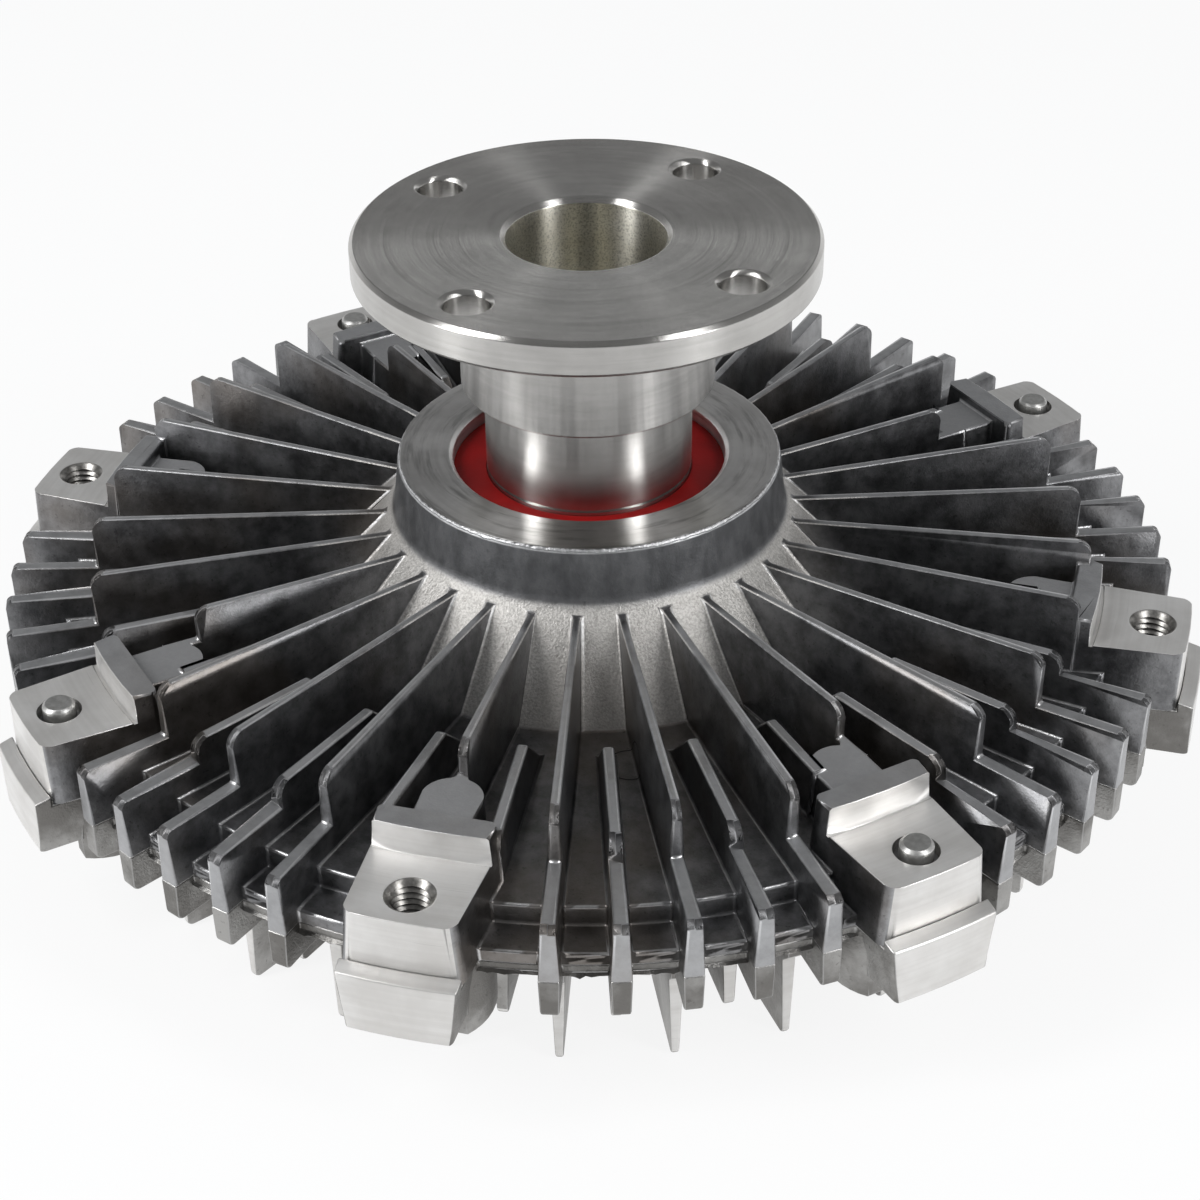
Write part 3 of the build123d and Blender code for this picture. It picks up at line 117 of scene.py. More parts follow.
# Colours of the housing's skin, cone, ring wall, ring edge and tabs, the painted light on the crests, and the
# rubbed edges, lightened partly as a painted highlight
SKIN_DARK, SKIN_LIGHT = (0.14, 0.141, 0.146), (0.31, 0.312, 0.32)
SKIN_STAIN, SKIN_PIT = (0.21, 0.178, 0.148), (0.04, 0.038, 0.036)
CONE_DARK, CONE_LIGHT = (0.40, 0.388, 0.37), (0.56, 0.545, 0.525)
CONE_FLECK, CONE_STAIN = (0.20, 0.185, 0.17), (0.36, 0.335, 0.31)
WALL_DARK, WALL_LIGHT, WALL_PIT = (0.105, 0.107, 0.111), (0.19, 0.192, 0.198), (0.08, 0.08, 0.082)
BURR_DARK, BURR_LIGHT = (0.08, 0.08, 0.082), (0.34, 0.34, 0.342)
TAB_DARK, TAB_LIGHT = (0.30, 0.30, 0.305), (0.38, 0.38, 0.385)
CREST_PAINTED_LIGHT_GREY, RUBBED_AND_HIGHLIT_GREY, MARK_BLACK = (0.47, 0.474, 0.484), (0.78, 0.785, 0.795), (0.02, 0.02, 0.02)

# Colours of the cover's skin, whose rubbed edges are lightened as wear and as a painted highlight
COVER_DARK, COVER_LIGHT = (0.18, 0.174, 0.165), (0.40, 0.395, 0.385)
COVER_PIT, COVER_RUBBED_AND_HIGHLIT = (0.10, 0.095, 0.09), (0.46, 0.46, 0.46)

# Round mark that a push rod of the die left on the disc
PUSH_MARK = (0.0241, -0.0607, 0.0400)

# How fine the even grain of metal and of rubber is, in grains per metre
METAL_GRAIN = 900.0
RUBBER_GRAIN = 1200.0

# Floor, surroundings, lamps and camera
LAMP_AIM = (0, 0, 0.05)
LAMP_HEIGHT = 0.9
FLOOR_REACH = 4.0
FLOOR_GLOW = 0.88
CAMERA_SIDE = (0.27, -0.96, 0.0)
CAMERA_PLACE = (0.1146, -0.4031, 0.3118)
CAMERA_COURSE = (-0.2240, 0.8012, -0.5548)
CAMERA_ROLL = math.radians(-0.60)
LENS = 74.5


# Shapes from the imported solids
def merged_copy(node):
    """A node's solid with its loose triangles joined and its flat faces made whole."""
    shape = bmesh.new()
    shape.from_mesh(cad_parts[node].data)
    bmesh.ops.remove_doubles(shape, verts=shape.verts, dist=JOIN_REACH)
    bmesh.ops.dissolve_limit(
        shape,
        angle_limit=math.radians(0.4),
        verts=shape.verts,
        edges=shape.edges,
        use_dissolve_boundaries=False,
    )
    return shape


def round_edges(shape, edges, width, segments):
    """Round the given edges over a width on both sides."""
    made = bmesh.ops.bevel(
        shape,
        geom=edges,
        offset=width,
        offset_type="OFFSET",
        segments=segments,
        profile=0.5,
        affect="EDGES",
        clamp_overlap=False,
        material=-1,
        loop_slide=True,
    )
    return made["faces"]


def sharp_edges(shape, least=28):
    """Edges whose faces meet at more than the given angle in degrees."""
    limit = math.radians(least)
    return [edge for edge in shape.edges if edge.is_manifold and edge.calc_face_angle(0) > limit]


def off_groove(edges):
    """Leave out the fine relief groove at the foot of the fan register and short steps in slits."""
    kept = []
    for edge in edges:
        in_groove = all(
            abs(radius_of(vert.co) - REGISTER_RADIUS) < 0.0007 and abs(vert.co.z - PAD) < 0.0007
            for vert in edge.verts
        )
        short_step = edge.calc_length() <= 0.0016 and edge.calc_face_angle(0) >= math.radians(70)
        if not in_groove and not short_step:
            kept.append(edge)
    return kept


def pad_corners(shape):
    """The upright outer corners of the eight pads."""
    upright = []
    for edge in sharp_edges(shape):
        low, high = sorted(vert.co.z for vert in edge.verts)
        outer = all(radius_of(vert.co) > PAD_RADIUS - 0.0005 for vert in edge.verts)
        if outer and high - low > 0.95 * edge.calc_length():
            upright.append(edge)
    return upright


def mark_wear_and_highlight(shape, rounded):
    """Give each vertex its share of wear and painted highlight: 1 along outer edges, -1 along inner corners, 0
    on open faces.
    """
    wear_and_highlight = shape.verts.layers.float.get("wear_and_highlight") or shape.verts.layers.float.new("wear_and_highlight")
    shape.normal_update()
    inside = set(rounded)
    for vert in shape.verts:
        if vert.link_faces and all(face in inside for face in vert.link_faces):
            reach = sum((edge.other_vert(vert).co - vert.co for edge in vert.link_edges), Vector())
            vert[wear_and_highlight] = 1.0 if reach.dot(vert.normal) < 0 else -1.0


def place_object(name, data):
    """A new object in the scene."""
    made = bpy.data.objects.new(name, data)
    bpy.context.scene.collection.objects.link(made)
    return made


def piece_from(shape, name, body, finishes, node=None, bend=None):
    """Make a shape a piece that rides on a body, or, where a bend is given, one fixed where it stands; in place
    of a node if one is given.
    """
    mesh = bpy.data.meshes.new(name)
    for finish in finishes:
        mesh.materials.append(finish)
    for face in shape.faces:
        face.smooth = True
    shape.to_mesh(mesh)
    shape.free()
    mesh.set_sharp_from_angle(angle=math.radians(50))
    piece = place_object(name, mesh)
    shading = piece.modifiers.new("even_shading", "WEIGHTED_NORMAL")
    shading.keep_sharp = True
    if bend:
        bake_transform(piece)
    else:
        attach(piece, body)
    if node:
        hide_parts(node)


def radius_of(place):
    """Distance from the axis."""
    return math.hypot(place.x, place.y)


def outward(place, normal):
    """How far a face looks away from the axis, from -1 to 1."""
    radius = radius_of(place)
    return (place.x * normal.x + place.y * normal.y) / radius if radius > 0.0001 else 0.0


def hole_places(sides):
    """Axes of the pads' holes on the given sides."""
    return [(PAD_HOLE_CIRCLE * x, PAD_HOLE_CIRCLE * y) for x, y in sides]


def open_line(shape, points):
    """A line of edges through points."""
    verts = [shape.verts.new(point) for point in points]
    return verts + [shape.edges.new(pair) for pair in zip(verts, verts[1:])]


def open_fan_holes(shape):
    """Take out the plain walls of the four fan holes, where the threads go."""
    reach = FAN_HOLE_RADIUS + 0.00003
    walls = [
        face
        for face in shape.faces
        for x, y in hole_places(FAN_SIDES)
        if all(math.hypot(vert.co.x - x, vert.co.y - y) < reach for vert in face.verts)
    ]
    bmesh.ops.delete(shape, geom=walls, context="FACES")


def wind_thread():
    """An M8 thread about the axis, from the parting face to under the countersink."""
    turns = round((PAD - PARTING) / THREAD_PITCH) + 1
    lip = PAD - FAN_HOLE_MOUTH
    start = lip - (turns - 0.6) * THREAD_PITCH
    profile = ((0.0, 0.0), (0.12, 0.0), (0.5, THREAD_DEPTH), (0.62, THREAD_DEPTH), (1.0, 0.0))
    points = [(FAN_HOLE_RADIUS + deep, 0, start + share * THREAD_PITCH) for share, deep in profile]
    thread = bmesh.new()
    bmesh.ops.spin(
        thread,
        geom=open_line(thread, points),
        cent=(0, 0, 0),
        axis=(0, 0, 1),
        dvec=(0, 0, THREAD_PITCH / THREAD_FACETS),
        angle=2 * math.pi * turns,
        steps=THREAD_FACETS * turns,
    )
    bmesh.ops.remove_doubles(thread, verts=thread.verts, dist=JOIN_REACH)
    past = [face for face in thread.faces if face.calc_center_median().z > lip + THREAD_RUN_OUT]
    bmesh.ops.delete(thread, geom=past, context="FACES")
    clear = 0.00002
    for vert in thread.verts:
        least = FAN_HOLE_RADIUS + max(0.0, vert.co.z - lip) + clear
        if vert.co.z > lip - clear and radius_of(vert.co) < least:
            vert.co.xy *= least / radius_of(vert.co)
        vert.co.z = max(vert.co.z, PARTING)
    thread.normal_update()
    for face in thread.faces:
        face.material_index = DRILLED
        if outward(face.calc_center_median(), face.normal) > 0:
            face.normal_flip()
    mesh = bpy.data.meshes.new("fan_thread")
    thread.to_mesh(mesh)
    thread.free()
    return mesh


# Nodes of the finishes
def add(tree, kind, inputs=None, **settings):
    """Add a node. Its inputs are numbers, colours or other nodes' sockets."""
    made = tree.nodes.new(kind)
    for key, value in settings.items():
        setattr(made, key, value)
    for socket, value in (inputs or {}).items():
        if isinstance(value, bpy.types.NodeSocket):
            tree.links.new(value, made.inputs[socket])
        else:
            made.inputs[socket].default_value = value
    return made


def calc(tree, operation, first, second, clamp=False):
    """One value worked out of two."""
    return add(tree, "ShaderNodeMath", {0: first, 1: second}, operation=operation, use_clamp=clamp).outputs[0]


def times(tree, first, *others):
    """The product of two or more values."""
    for other in others:
        first = calc(tree, "MULTIPLY", first, other)
    return first


def plus(tree, first, second, clamp=False):
    return calc(tree, "ADD", first, second, clamp)


def less(tree, first, second, clamp=False):
    return calc(tree, "SUBTRACT", first, second, clamp)


def vector_calc(tree, operation, inputs, result="Vector"):
    """A vector worked out of others, or a number where the result is Value."""
    return add(tree, "ShaderNodeVectorMath", inputs, operation=operation).outputs[result]


def split(tree, vector):
    """A vector's parts by the names X, Y and Z."""
    return add(tree, "ShaderNodeSeparateXYZ", {0: vector}).outputs


def joined(tree, **parts):
    """A vector of the parts X, Y and Z."""
    return add(tree, "ShaderNodeCombineXYZ", parts).outputs[0]


def step(tree, value, low, high):
    """0 below low, 1 above high and a soft rise between them, or a fall where low is the greater one."""
    inputs = {"Value": value, "From Min": low, "From Max": high}
    return add(tree, "ShaderNodeMapRange", inputs, interpolation_type="SMOOTHSTEP").outputs["Result"]


def spread(tree, value, low, high):
    """A 0 to 1 value spread between two numbers."""
    return add(tree, "ShaderNodeMapRange", {"Value": value, "To Min": low, "To Max": high}).outputs["Result"]


def tint(tree, share, under, over):
    """Mix two colours."""
    made = add(tree, "ShaderNodeMix", data_type="RGBA")
    for socket, value in ((made.inputs[0], share), (made.inputs[6], under), (made.inputs[7], over)):
        if isinstance(value, bpy.types.NodeSocket):
            tree.links.new(value, socket)
        else:
            socket.default_value = value if isinstance(value, float) else (*value, 1.0)
    return made.outputs[2]


def shade(colour, share):
    """A darker or brighter colour."""
    return tuple(min(1.0, share * part) for part in colour)


def grain(tree, place, scale, detail, roughness):
    """Cloudy noise, from 0 to 1."""
    inputs = {"Vector": place, "Scale": scale, "Detail": detail, "Roughness": roughness}
    return add(tree, "ShaderNodeTexNoise", inputs).outputs["Fac"]


def on_part(tree):
    """Place on the part."""
    return add(tree, "ShaderNodeTexCoord").outputs["Object"]


def where(tree):
    """Place on the part, distance from the axis, height and direction from the axis."""
    place = on_part(tree)
    parts = split(tree, place)
    flat = joined(tree, X=parts["X"], Y=parts["Y"])
    radius = vector_calc(tree, "LENGTH", {0: flat}, "Value")
    return place, radius, parts["Z"], vector_calc(tree, "NORMALIZE", {0: flat})


def surface_course(tree):
    """The surface's direction."""
    return add(tree, "ShaderNodeNewGeometry").outputs["Normal"]


def facing_up(tree):
    """Upward part of the surface's direction."""
    return split(tree, surface_course(tree))["Z"]


def to_world(tree, course):
    """A direction on the part as it stands after the part has turned."""
    turn = {"vector_type": "VECTOR", "convert_from": "OBJECT", "convert_to": "WORLD"}
    return add(tree, "ShaderNodeVectorTransform", {0: course}, **turn).outputs[0]


def around_axis(tree, course):
    """Direction of a cut that runs round the axis."""
    parts = split(tree, course)
    return to_world(tree, joined(tree, X=times(tree, parts["Y"], -1.0), Y=parts["X"]))


def facing_out(tree, course):
    """Part of the surface's direction that looks away from the axis."""
    return vector_calc(tree, "DOT_PRODUCT", {0: surface_course(tree), 1: to_world(tree, course)}, "Value")


def round_about(tree, course, arc):
    """Two numbers that change slowly on the way round the axis."""
    parts = split(tree, course)
    return times(tree, parts["X"], arc), times(tree, parts["Y"], arc)


def lathe_marks(tree, radius, height, course, fineness, arc, detail):
    """Marks that run round the axis: fine across, long along the cut."""
    side, along = round_about(tree, course, arc)
    inputs = {
        "Vector": joined(tree, X=times(tree, radius, fineness), Y=side, Z=along),
        "W": times(tree, height, fineness),
        "Scale": 1.0,
        "Detail": detail,
        "Roughness": 0.6,
    }
    return add(tree, "ShaderNodeTexNoise", inputs, noise_dimensions="4D").outputs["Fac"]


def finish(name, metallic=1.0, **constant):
    """A new material and its shader, with the values that are the same all over it."""
    material = bpy.data.materials.new(name)
    material.use_nodes = True
    shader = material.node_tree.nodes["Principled BSDF"]
    shader.inputs["Metallic"].default_value = metallic
    for socket, value in constant.items():
        shader.inputs[socket.replace("_", " ")].default_value = value
    return material, material.node_tree, shader.inputs


def relief(tree, sockets, height, depth):
    """Raise and sink the surface by a height map."""
    bump = add(tree, "ShaderNodeBump", {"Height": height, "Distance": depth, "Strength": 1.0})
    tree.links.new(bump.outputs[0], sockets["Normal"])
    return bump


def worn_and_highlit_edges(tree):
    """1 along outer edges, by each point's value, where edges are lightened as wear and as a painted highlight.
    """
    return step(tree, add(tree, "ShaderNodeAttribute", attribute_name="wear_and_highlight").outputs["Fac"], 0.15, 0.95)


# Cast aluminium
def cone_share(tree, radius, height, up):
    """1 on the sanded cone."""
    near_axis = step(tree, radius, CONE_FOOT_RADIUS + 0.0012, CONE_FOOT_RADIUS - 0.0012)
    sloped = times(tree, step(tree, up, 0.30, 0.52), step(tree, up, 0.93, 0.80))
    return times(tree, near_axis, sloped, step(tree, height, RING_FOOT + 0.0016, RING_FOOT - 0.0012))


def ring_share(tree, radius, height):
    """1 on the wall of the bearing ring."""
    near_axis = step(tree, radius, RING_WALL_RADIUS + 0.0005, RING_WALL_RADIUS - 0.0005)
    return times(tree, near_axis, step(tree, height, RING_FOOT - 0.0008, RING_FOOT + 0.0015))


def tab_share(tree, radius, height, up):
    """1 on the flat tops of the tabs."""
    level = times(tree, step(tree, up, 0.92, 0.98), step(tree, height, TAB - 0.0004, TAB - 0.0001))
    under = step(tree, height, TAB + 0.0022, TAB + 0.0018)
    return times(tree, level, under, step(tree, radius, TAB_INNER_RADIUS - 0.0005, TAB_INNER_RADIUS + 0.0005))


def lit_crest_share(tree, radius, height, course, up):
    """1 on the top edges of the fins and on their outer ends, where light is painted."""
    level = times(tree, step(tree, up, 0.70, 0.95), step(tree, height, DISC + 0.0015, DISC + 0.0030))
    lit_crest = times(tree, level, step(tree, radius, CONE_FOOT_RADIUS - 0.012, CONE_FOOT_RADIUS - 0.008))
    rim = step(tree, radius, FIN_END_RADIUS - 0.0005, FIN_END_RADIUS + 0.0005)
    return calc(tree, "MAXIMUM", lit_crest, times(tree, rim, step(tree, facing_out(tree, course), 0.60, 0.90)))


def push_mark(tree, place):
    """1 along the round line that a push rod of the die left on the disc."""
    reach = vector_calc(tree, "DISTANCE", {0: place, 1: PUSH_MARK}, "Value")
    return times(tree, step(tree, reach, 0.0040, 0.0042), step(tree, reach, 0.0045, 0.0043))


def skin_colour(tree, share, patch, pits):
    """Dark die-cast skin with stains and pits."""
    colour = tint(tree, step(tree, share, 0.32, 0.68), SKIN_DARK, SKIN_LIGHT)
    colour = tint(tree, times(tree, step(tree, patch, 0.48, 0.66), 0.5), colour, SKIN_STAIN)
    return tint(tree, pits, colour, SKIN_PIT)


def cone_colour(tree, sand, fleck, patch):
    """Pale sanded skin of the cone."""
    colour = tint(tree, step(tree, sand, 0.34, 0.66), CONE_DARK, CONE_LIGHT)
    colour = tint(tree, times(tree, step(tree, fleck, 0.60, 0.68), 0.40), colour, CONE_FLECK)
    return tint(tree, times(tree, step(tree, patch, 0.45, 0.65), 0.30), colour, CONE_STAIN)


def wall_colour(tree, height, course, pits):
    """Dark wall of the bearing ring, with streaks that run round it."""
    side, along = round_about(tree, course, 9.0)
    streak = grain(tree, joined(tree, X=side, Y=along, Z=times(tree, height, 120.0)), 1.0, 4.0, 0.6)
    colour = tint(tree, step(tree, streak, 0.30, 0.72), WALL_DARK, WALL_LIGHT)
    return tint(tree, times(tree, pits, 0.8), colour, WALL_PIT)


def housing_cast():
    """Dark die-cast skin with a sanded cone, matt tab tops, fin crests made paler as painted light, and worn
    edges lightened partly as a painted highlight.
    """
    material, tree, sockets = finish("housing_cast")
    place, radius, height, course = where(tree)
    up = facing_up(tree)
    cloud = grain(tree, place, 70.0, 6.0, 0.68)
    patch = grain(tree, place, 24.0, 3.0, 0.55)
    fleck = grain(tree, place, 900.0, 3.0, 0.7)
    sand = grain(tree, place, 2300.0, 2.0, 0.6)
    mottle = grain(tree, place, 210.0, 5.0, 0.7)
    share = plus(tree, times(tree, cloud, 0.30), times(tree, mottle, 0.70))
    pits = times(tree, step(tree, fleck, 0.60, 0.70), 0.4)

    cone = cone_share(tree, radius, height, up)
    ring = ring_share(tree, radius, height)
    brim = plus(tree, height, times(tree, mottle, 0.0012))
    burr = times(tree, step(tree, brim, RING_TOP - 0.0001, RING_TOP + 0.0001), ring)
    tab = tab_share(tree, radius, height, up)
    lit_crest = less(tree, lit_crest_share(tree, radius, height, course, up), tab, clamp=True)
    mark = push_mark(tree, place)
    edge = worn_and_highlit_edges(tree)

    colour = skin_colour(tree, share, patch, pits)
    colour = tint(tree, cone, colour, cone_colour(tree, sand, fleck, patch))
    colour = tint(tree, ring, colour, wall_colour(tree, height, course, pits))
    colour = tint(tree, burr, colour, tint(tree, step(tree, fleck, 0.42, 0.58), BURR_DARK, BURR_LIGHT))
    colour = tint(tree, tab, colour, tint(tree, fleck, TAB_DARK, TAB_LIGHT))
    # Painted light: the up-facing fin tops and the outward fin ends are made paler
    colour = tint(tree, times(tree, lit_crest, spread(tree, mottle, 0.30, 1.0)), colour, CREST_PAINTED_LIGHT_GREY)
    colour = tint(tree, mark, colour, MARK_BLACK)
    # Outer edges lightened: partly wear, partly a painted highlight
    colour = tint(tree, times(tree, edge, spread(tree, fleck, 0.25, 0.95)), colour, RUBBED_AND_HIGHLIT_GREY)
    tree.links.new(colour, sockets["Base Color"])

    soft = plus(tree, plus(tree, cone, ring), plus(tree, tab, times(tree, lit_crest, 0.6)), clamp=True)
    tree.links.new(spread(tree, soft, 1.0, 0.72), sockets["Metallic"])

    rough = plus(tree, spread(tree, share, 0.24, 0.56), times(tree, cone, 0.12))
    rough = plus(tree, rough, times(tree, tab, 0.20))
    rough = less(tree, rough, times(tree, edge, 0.06))
    tree.links.new(rough, sockets["Roughness"])

    rise = times(tree, plus(tree, sand, fleck), spread(tree, cone, 0.35, 1.0))
    rise = plus(tree, rise, times(tree, burr, times(tree, fleck, 2.0)))
    relief(tree, sockets, less(tree, rise, mark), 0.00012)
    return material


def cover_cast():
    """Paler, sandy die-cast skin of the front cover, stained in places."""
    material, tree, sockets = finish("cover_cast")
    place = on_part(tree)
    cloud = grain(tree, place, 60.0, 5.0, 0.6)
    fleck = grain(tree, place, 800.0, 3.0, 0.7)
    sand = grain(tree, place, 2300.0, 2.0, 0.6)
    colour = tint(tree, step(tree, cloud, 0.38, 0.64), COVER_DARK, COVER_LIGHT)
    colour = tint(tree, times(tree, step(tree, fleck, 0.60, 0.72), 0.5), colour, COVER_PIT)
    # Outer edges lightened: partly wear, partly a painted highlight
    colour = tint(tree, times(tree, worn_and_highlit_edges(tree), spread(tree, fleck, 0.25, 0.95)), colour, COVER_RUBBED_AND_HIGHLIT)
    tree.links.new(colour, sockets["Base Color"])
    tree.links.new(spread(tree, cloud, 0.34, 0.58), sockets["Roughness"])
    relief(tree, sockets, plus(tree, sand, fleck), 0.0001)
    return material


# Turned and ground surfaces
def faced_cut(tree, radius, course):
    """Direction of a faced surface whose fine cut leans to the axis on one flank and is flat on the other."""
    lines = grain(tree, joined(tree, X=times(tree, radius, 40000.0)), 1.0, 0.0, 0.5)
    flank = times(tree, step(tree, lines, 0.50, 0.56), step(tree, facing_up(tree), 0.90, 0.97))
    lean = times(tree, flank, -0.55)
    inward = vector_calc(tree, "SCALE", {0: to_world(tree, course), "Scale": lean})
    tilted = vector_calc(tree, "ADD", {0: surface_course(tree), 1: inward})
    return vector_calc(tree, "NORMALIZE", {0: tilted})


def turned(
    name, dull, bright, rough_low, rough_high, fineness, depth, anisotropy,
    specks=0.0, smears=0.0, faced=False, **constant,
):
    """Turned metal with marks that run round the axis, and with dark specks and smears where asked."""
    material, tree, sockets = finish(name, Anisotropic=anisotropy, Anisotropic_Rotation=0.25, **constant)
    place, radius, height, course = where(tree)
    cut = lathe_marks(tree, radius, height, course, fineness, 1.2, 3.0)
    arcs = lathe_marks(tree, radius, height, course, fineness * 2.2, 5.0, 2.0)
    cloud = grain(tree, place, 70.0, 4.0, 0.6)
    share = plus(tree, times(tree, cut, 0.30), times(tree, cloud, 0.70))
    colour = tint(tree, step(tree, share, 0.32, 0.68), dull, bright)
    if smears:
        smear = step(tree, lathe_marks(tree, radius, height, course, 620.0, 2.2, 5.0), 0.50, 0.70)
        colour = tint(tree, times(tree, smear, smears), colour, shade(dull, 0.35))
    scratch = times(tree, step(tree, arcs, 0.68, 0.76), 0.35)
    colour = tint(tree, scratch, colour, shade(dull, 0.6))
    if specks:
        speck = step(tree, grain(tree, place, 2600.0, 3.0, 0.65), 0.46, 0.64)
        colour = tint(tree, times(tree, speck, specks), colour, shade(dull, 0.30))
    tree.links.new(colour, sockets["Base Color"])
    tree.links.new(spread(tree, share, rough_low, rough_high), sockets["Roughness"])
    tree.links.new(around_axis(tree, course), sockets["Tangent"])
    bump = relief(tree, sockets, plus(tree, cut, arcs), depth)
    if faced:
        tree.links.new(faced_cut(tree, radius, course), bump.inputs["Normal"])
    return material


def plain_metal(name, dull, bright, rough_low, rough_high, depth=0.00003):
    """Metal with a fine even grain."""
    material, tree, sockets = finish(name)
    place = on_part(tree)
    fine = grain(tree, place, METAL_GRAIN, 3.0, 0.6)
    cloud = grain(tree, place, METAL_GRAIN / 14, 4.0, 0.6)
    share = times(tree, plus(tree, fine, cloud), 0.5)
    colour = tint(tree, step(tree, share, 0.36, 0.64), dull, bright)
    # Outer edges lightened: partly wear, partly a painted highlight
    colour = tint(tree, times(tree, worn_and_highlit_edges(tree), 0.5), colour, shade(bright, 1.2))
    tree.links.new(colour, sockets["Base Color"])
    tree.links.new(spread(tree, share, rough_low, rough_high), sockets["Roughness"])
    relief(tree, sockets, fine, depth)
    return material


def moulded(name, dark, light, rough_low, rough_high, **constant):
    """Rubber or plastic with a fine moulded skin."""
    material, tree, sockets = finish(name, 0.0, **constant)
    place = on_part(tree)
    fine = grain(tree, place, RUBBER_GRAIN, 3.0, 0.6)
    cloud = grain(tree, place, RUBBER_GRAIN / 16, 3.0, 0.5)
    colour = tint(tree, step(tree, cloud, 0.35, 0.65), dark, light)
    tree.links.new(colour, sockets["Base Color"])
    tree.links.new(spread(tree, cloud, rough_low, rough_high), sockets["Roughness"])
    relief(tree, sockets, fine, 0.00003)
    return material


HOUSING_CAST = housing_cast()
COVER_CAST = cover_cast()
TURNED_ALUMINIUM = turned(
    "turned_aluminium", (0.62, 0.605, 0.585), (0.78, 0.77, 0.755), 0.34, 0.44,
    fineness=900.0, depth=0.000003, anisotropy=0.5, metallic=0.72,
)
TURNED_RING = turned(
    "turned_ring", (0.50, 0.495, 0.49), (0.74, 0.735, 0.73), 0.26, 0.34,
    fineness=1000.0, depth=0.000003, anisotropy=0.92, smears=0.6,
)
TURNED_STEEL = turned(
    "turned_steel", (0.47, 0.462, 0.448), (0.58, 0.572, 0.555), 0.23, 0.28,
    fineness=1100.0, depth=0.000002, anisotropy=0.94, smears=0.10, faced=True,
)
BORED_STEEL = turned(
    "bored_steel", (0.70, 0.675, 0.59), (0.88, 0.865, 0.80), 0.26, 0.36,
    fineness=700.0, depth=0.000006, anisotropy=0.90, specks=0.5,
)
TAPPED_ALUMINIUM = plain_metal("tapped_aluminium", (0.20, 0.195, 0.185), (0.40, 0.39, 0.375), 0.24, 0.40)
ZINC = plain_metal("zinc_plate", (0.42, 0.42, 0.41), (0.58, 0.58, 0.57), 0.36, 0.50, depth=0.00006)
SPRING_STEEL = plain_metal("oiled_spring_steel", (0.20, 0.205, 0.22), (0.34, 0.345, 0.36), 0.25, 0.4)
GROUND_STEEL = plain_metal("ground_bearing_steel", (0.66, 0.66, 0.67), (0.78, 0.78, 0.79), 0.08, 0.18)
BIMETAL = plain_metal("rolled_bimetal", (0.46, 0.36, 0.24), (0.62, 0.51, 0.37), 0.25, 0.42)
PRESSED_ALUMINIUM = plain_metal("pressed_aluminium", (0.50, 0.50, 0.51), (0.66, 0.66, 0.67), 0.3, 0.45)
SEAL_RED = moulded(
    "red_seal_rubber", (0.22, 0.003, 0.003), (0.31, 0.005, 0.005), 0.40, 0.55, Specular_IOR_Level=0.15
)
BLACK_RUBBER = moulded("black_rubber", (0.012, 0.012, 0.012), (0.03, 0.03, 0.03), 0.45, 0.65)
CAGE_PLASTIC = moulded("cage_polyamide", (0.09, 0.045, 0.02), (0.15, 0.08, 0.04), 0.4, 0.55)


# Housing with its rounded casting edges, turned pads and ring
def housing_zone(place, normal):
    """Finish of a face of the housing by where it lies and looks."""
    radius = radius_of(place)
    away = outward(place, normal)
    if (place.z > RING_TOP - 0.0009 and radius < RING_FACE_RADIUS) or radius < RING_MOUTH_RADIUS:
        return RING
    on_pad = radius > REGISTER_RADIUS - 0.0002 and normal.z > FACING and PAD - 0.0004 < place.z < PAD + 0.0001
    on_register = abs(radius - REGISTER_RADIUS) < 0.0004 and away > FACING and place.z > PAD - 0.0005
    on_boss = radius > PAD_RADIUS - 0.0004 and away > FACING
    on_parting = normal.z < -FACING and place.z < PARTING + 0.0001
    if on_pad or on_register or on_boss or on_parting:
        return BRIGHT
    for x, y in hole_places(FAN_SIDES + SCREW_SIDES):
        if normal.z < FACING and math.hypot(place.x - x, place.y - y) < PAD_HOLE_REACH:
            return DRILLED
    return CAST


def beside_cut(edge):
    """Whether one of the edge's faces is turned or drilled."""
    return any(face.material_index != CAST for face in edge.link_faces)


def finish_housing():
    """The housing with rounded pad corners, then cast edges, then cut edges, and threads in its fan holes."""
    shape = merged_copy("rear_housing")
    open_fan_holes(shape)
    round_edges(shape, pad_corners(shape), PAD_CORNER, 5)
    for face in shape.faces:
        face.material_index = housing_zone(face.calc_center_median(), face.normal)
    as_cast = [edge for edge in sharp_edges(shape) if not beside_cut(edge)]
    mark_wear_and_highlight(shape, round_edges(shape, off_groove(as_cast), HOUSING_EDGE, 3))
    cut = [edge for edge in sharp_edges(shape) if beside_cut(edge)]
    mark_wear_and_highlight(shape, round_edges(shape, off_groove(cut), CUT_EDGE, 2))
    thread = wind_thread()
    for x, y in hole_places(FAN_SIDES):
        thread.transform(Matrix.Translation((x, y, 0)))
        shape.from_mesh(thread)
        thread.transform(Matrix.Translation((-x, -y, 0)))
    finishes = [HOUSING_CAST, TURNED_ALUMINIUM, TURNED_RING, TAPPED_ALUMINIUM]
    piece_from(shape, "housing_finished", "housing", finishes, "rear_housing")


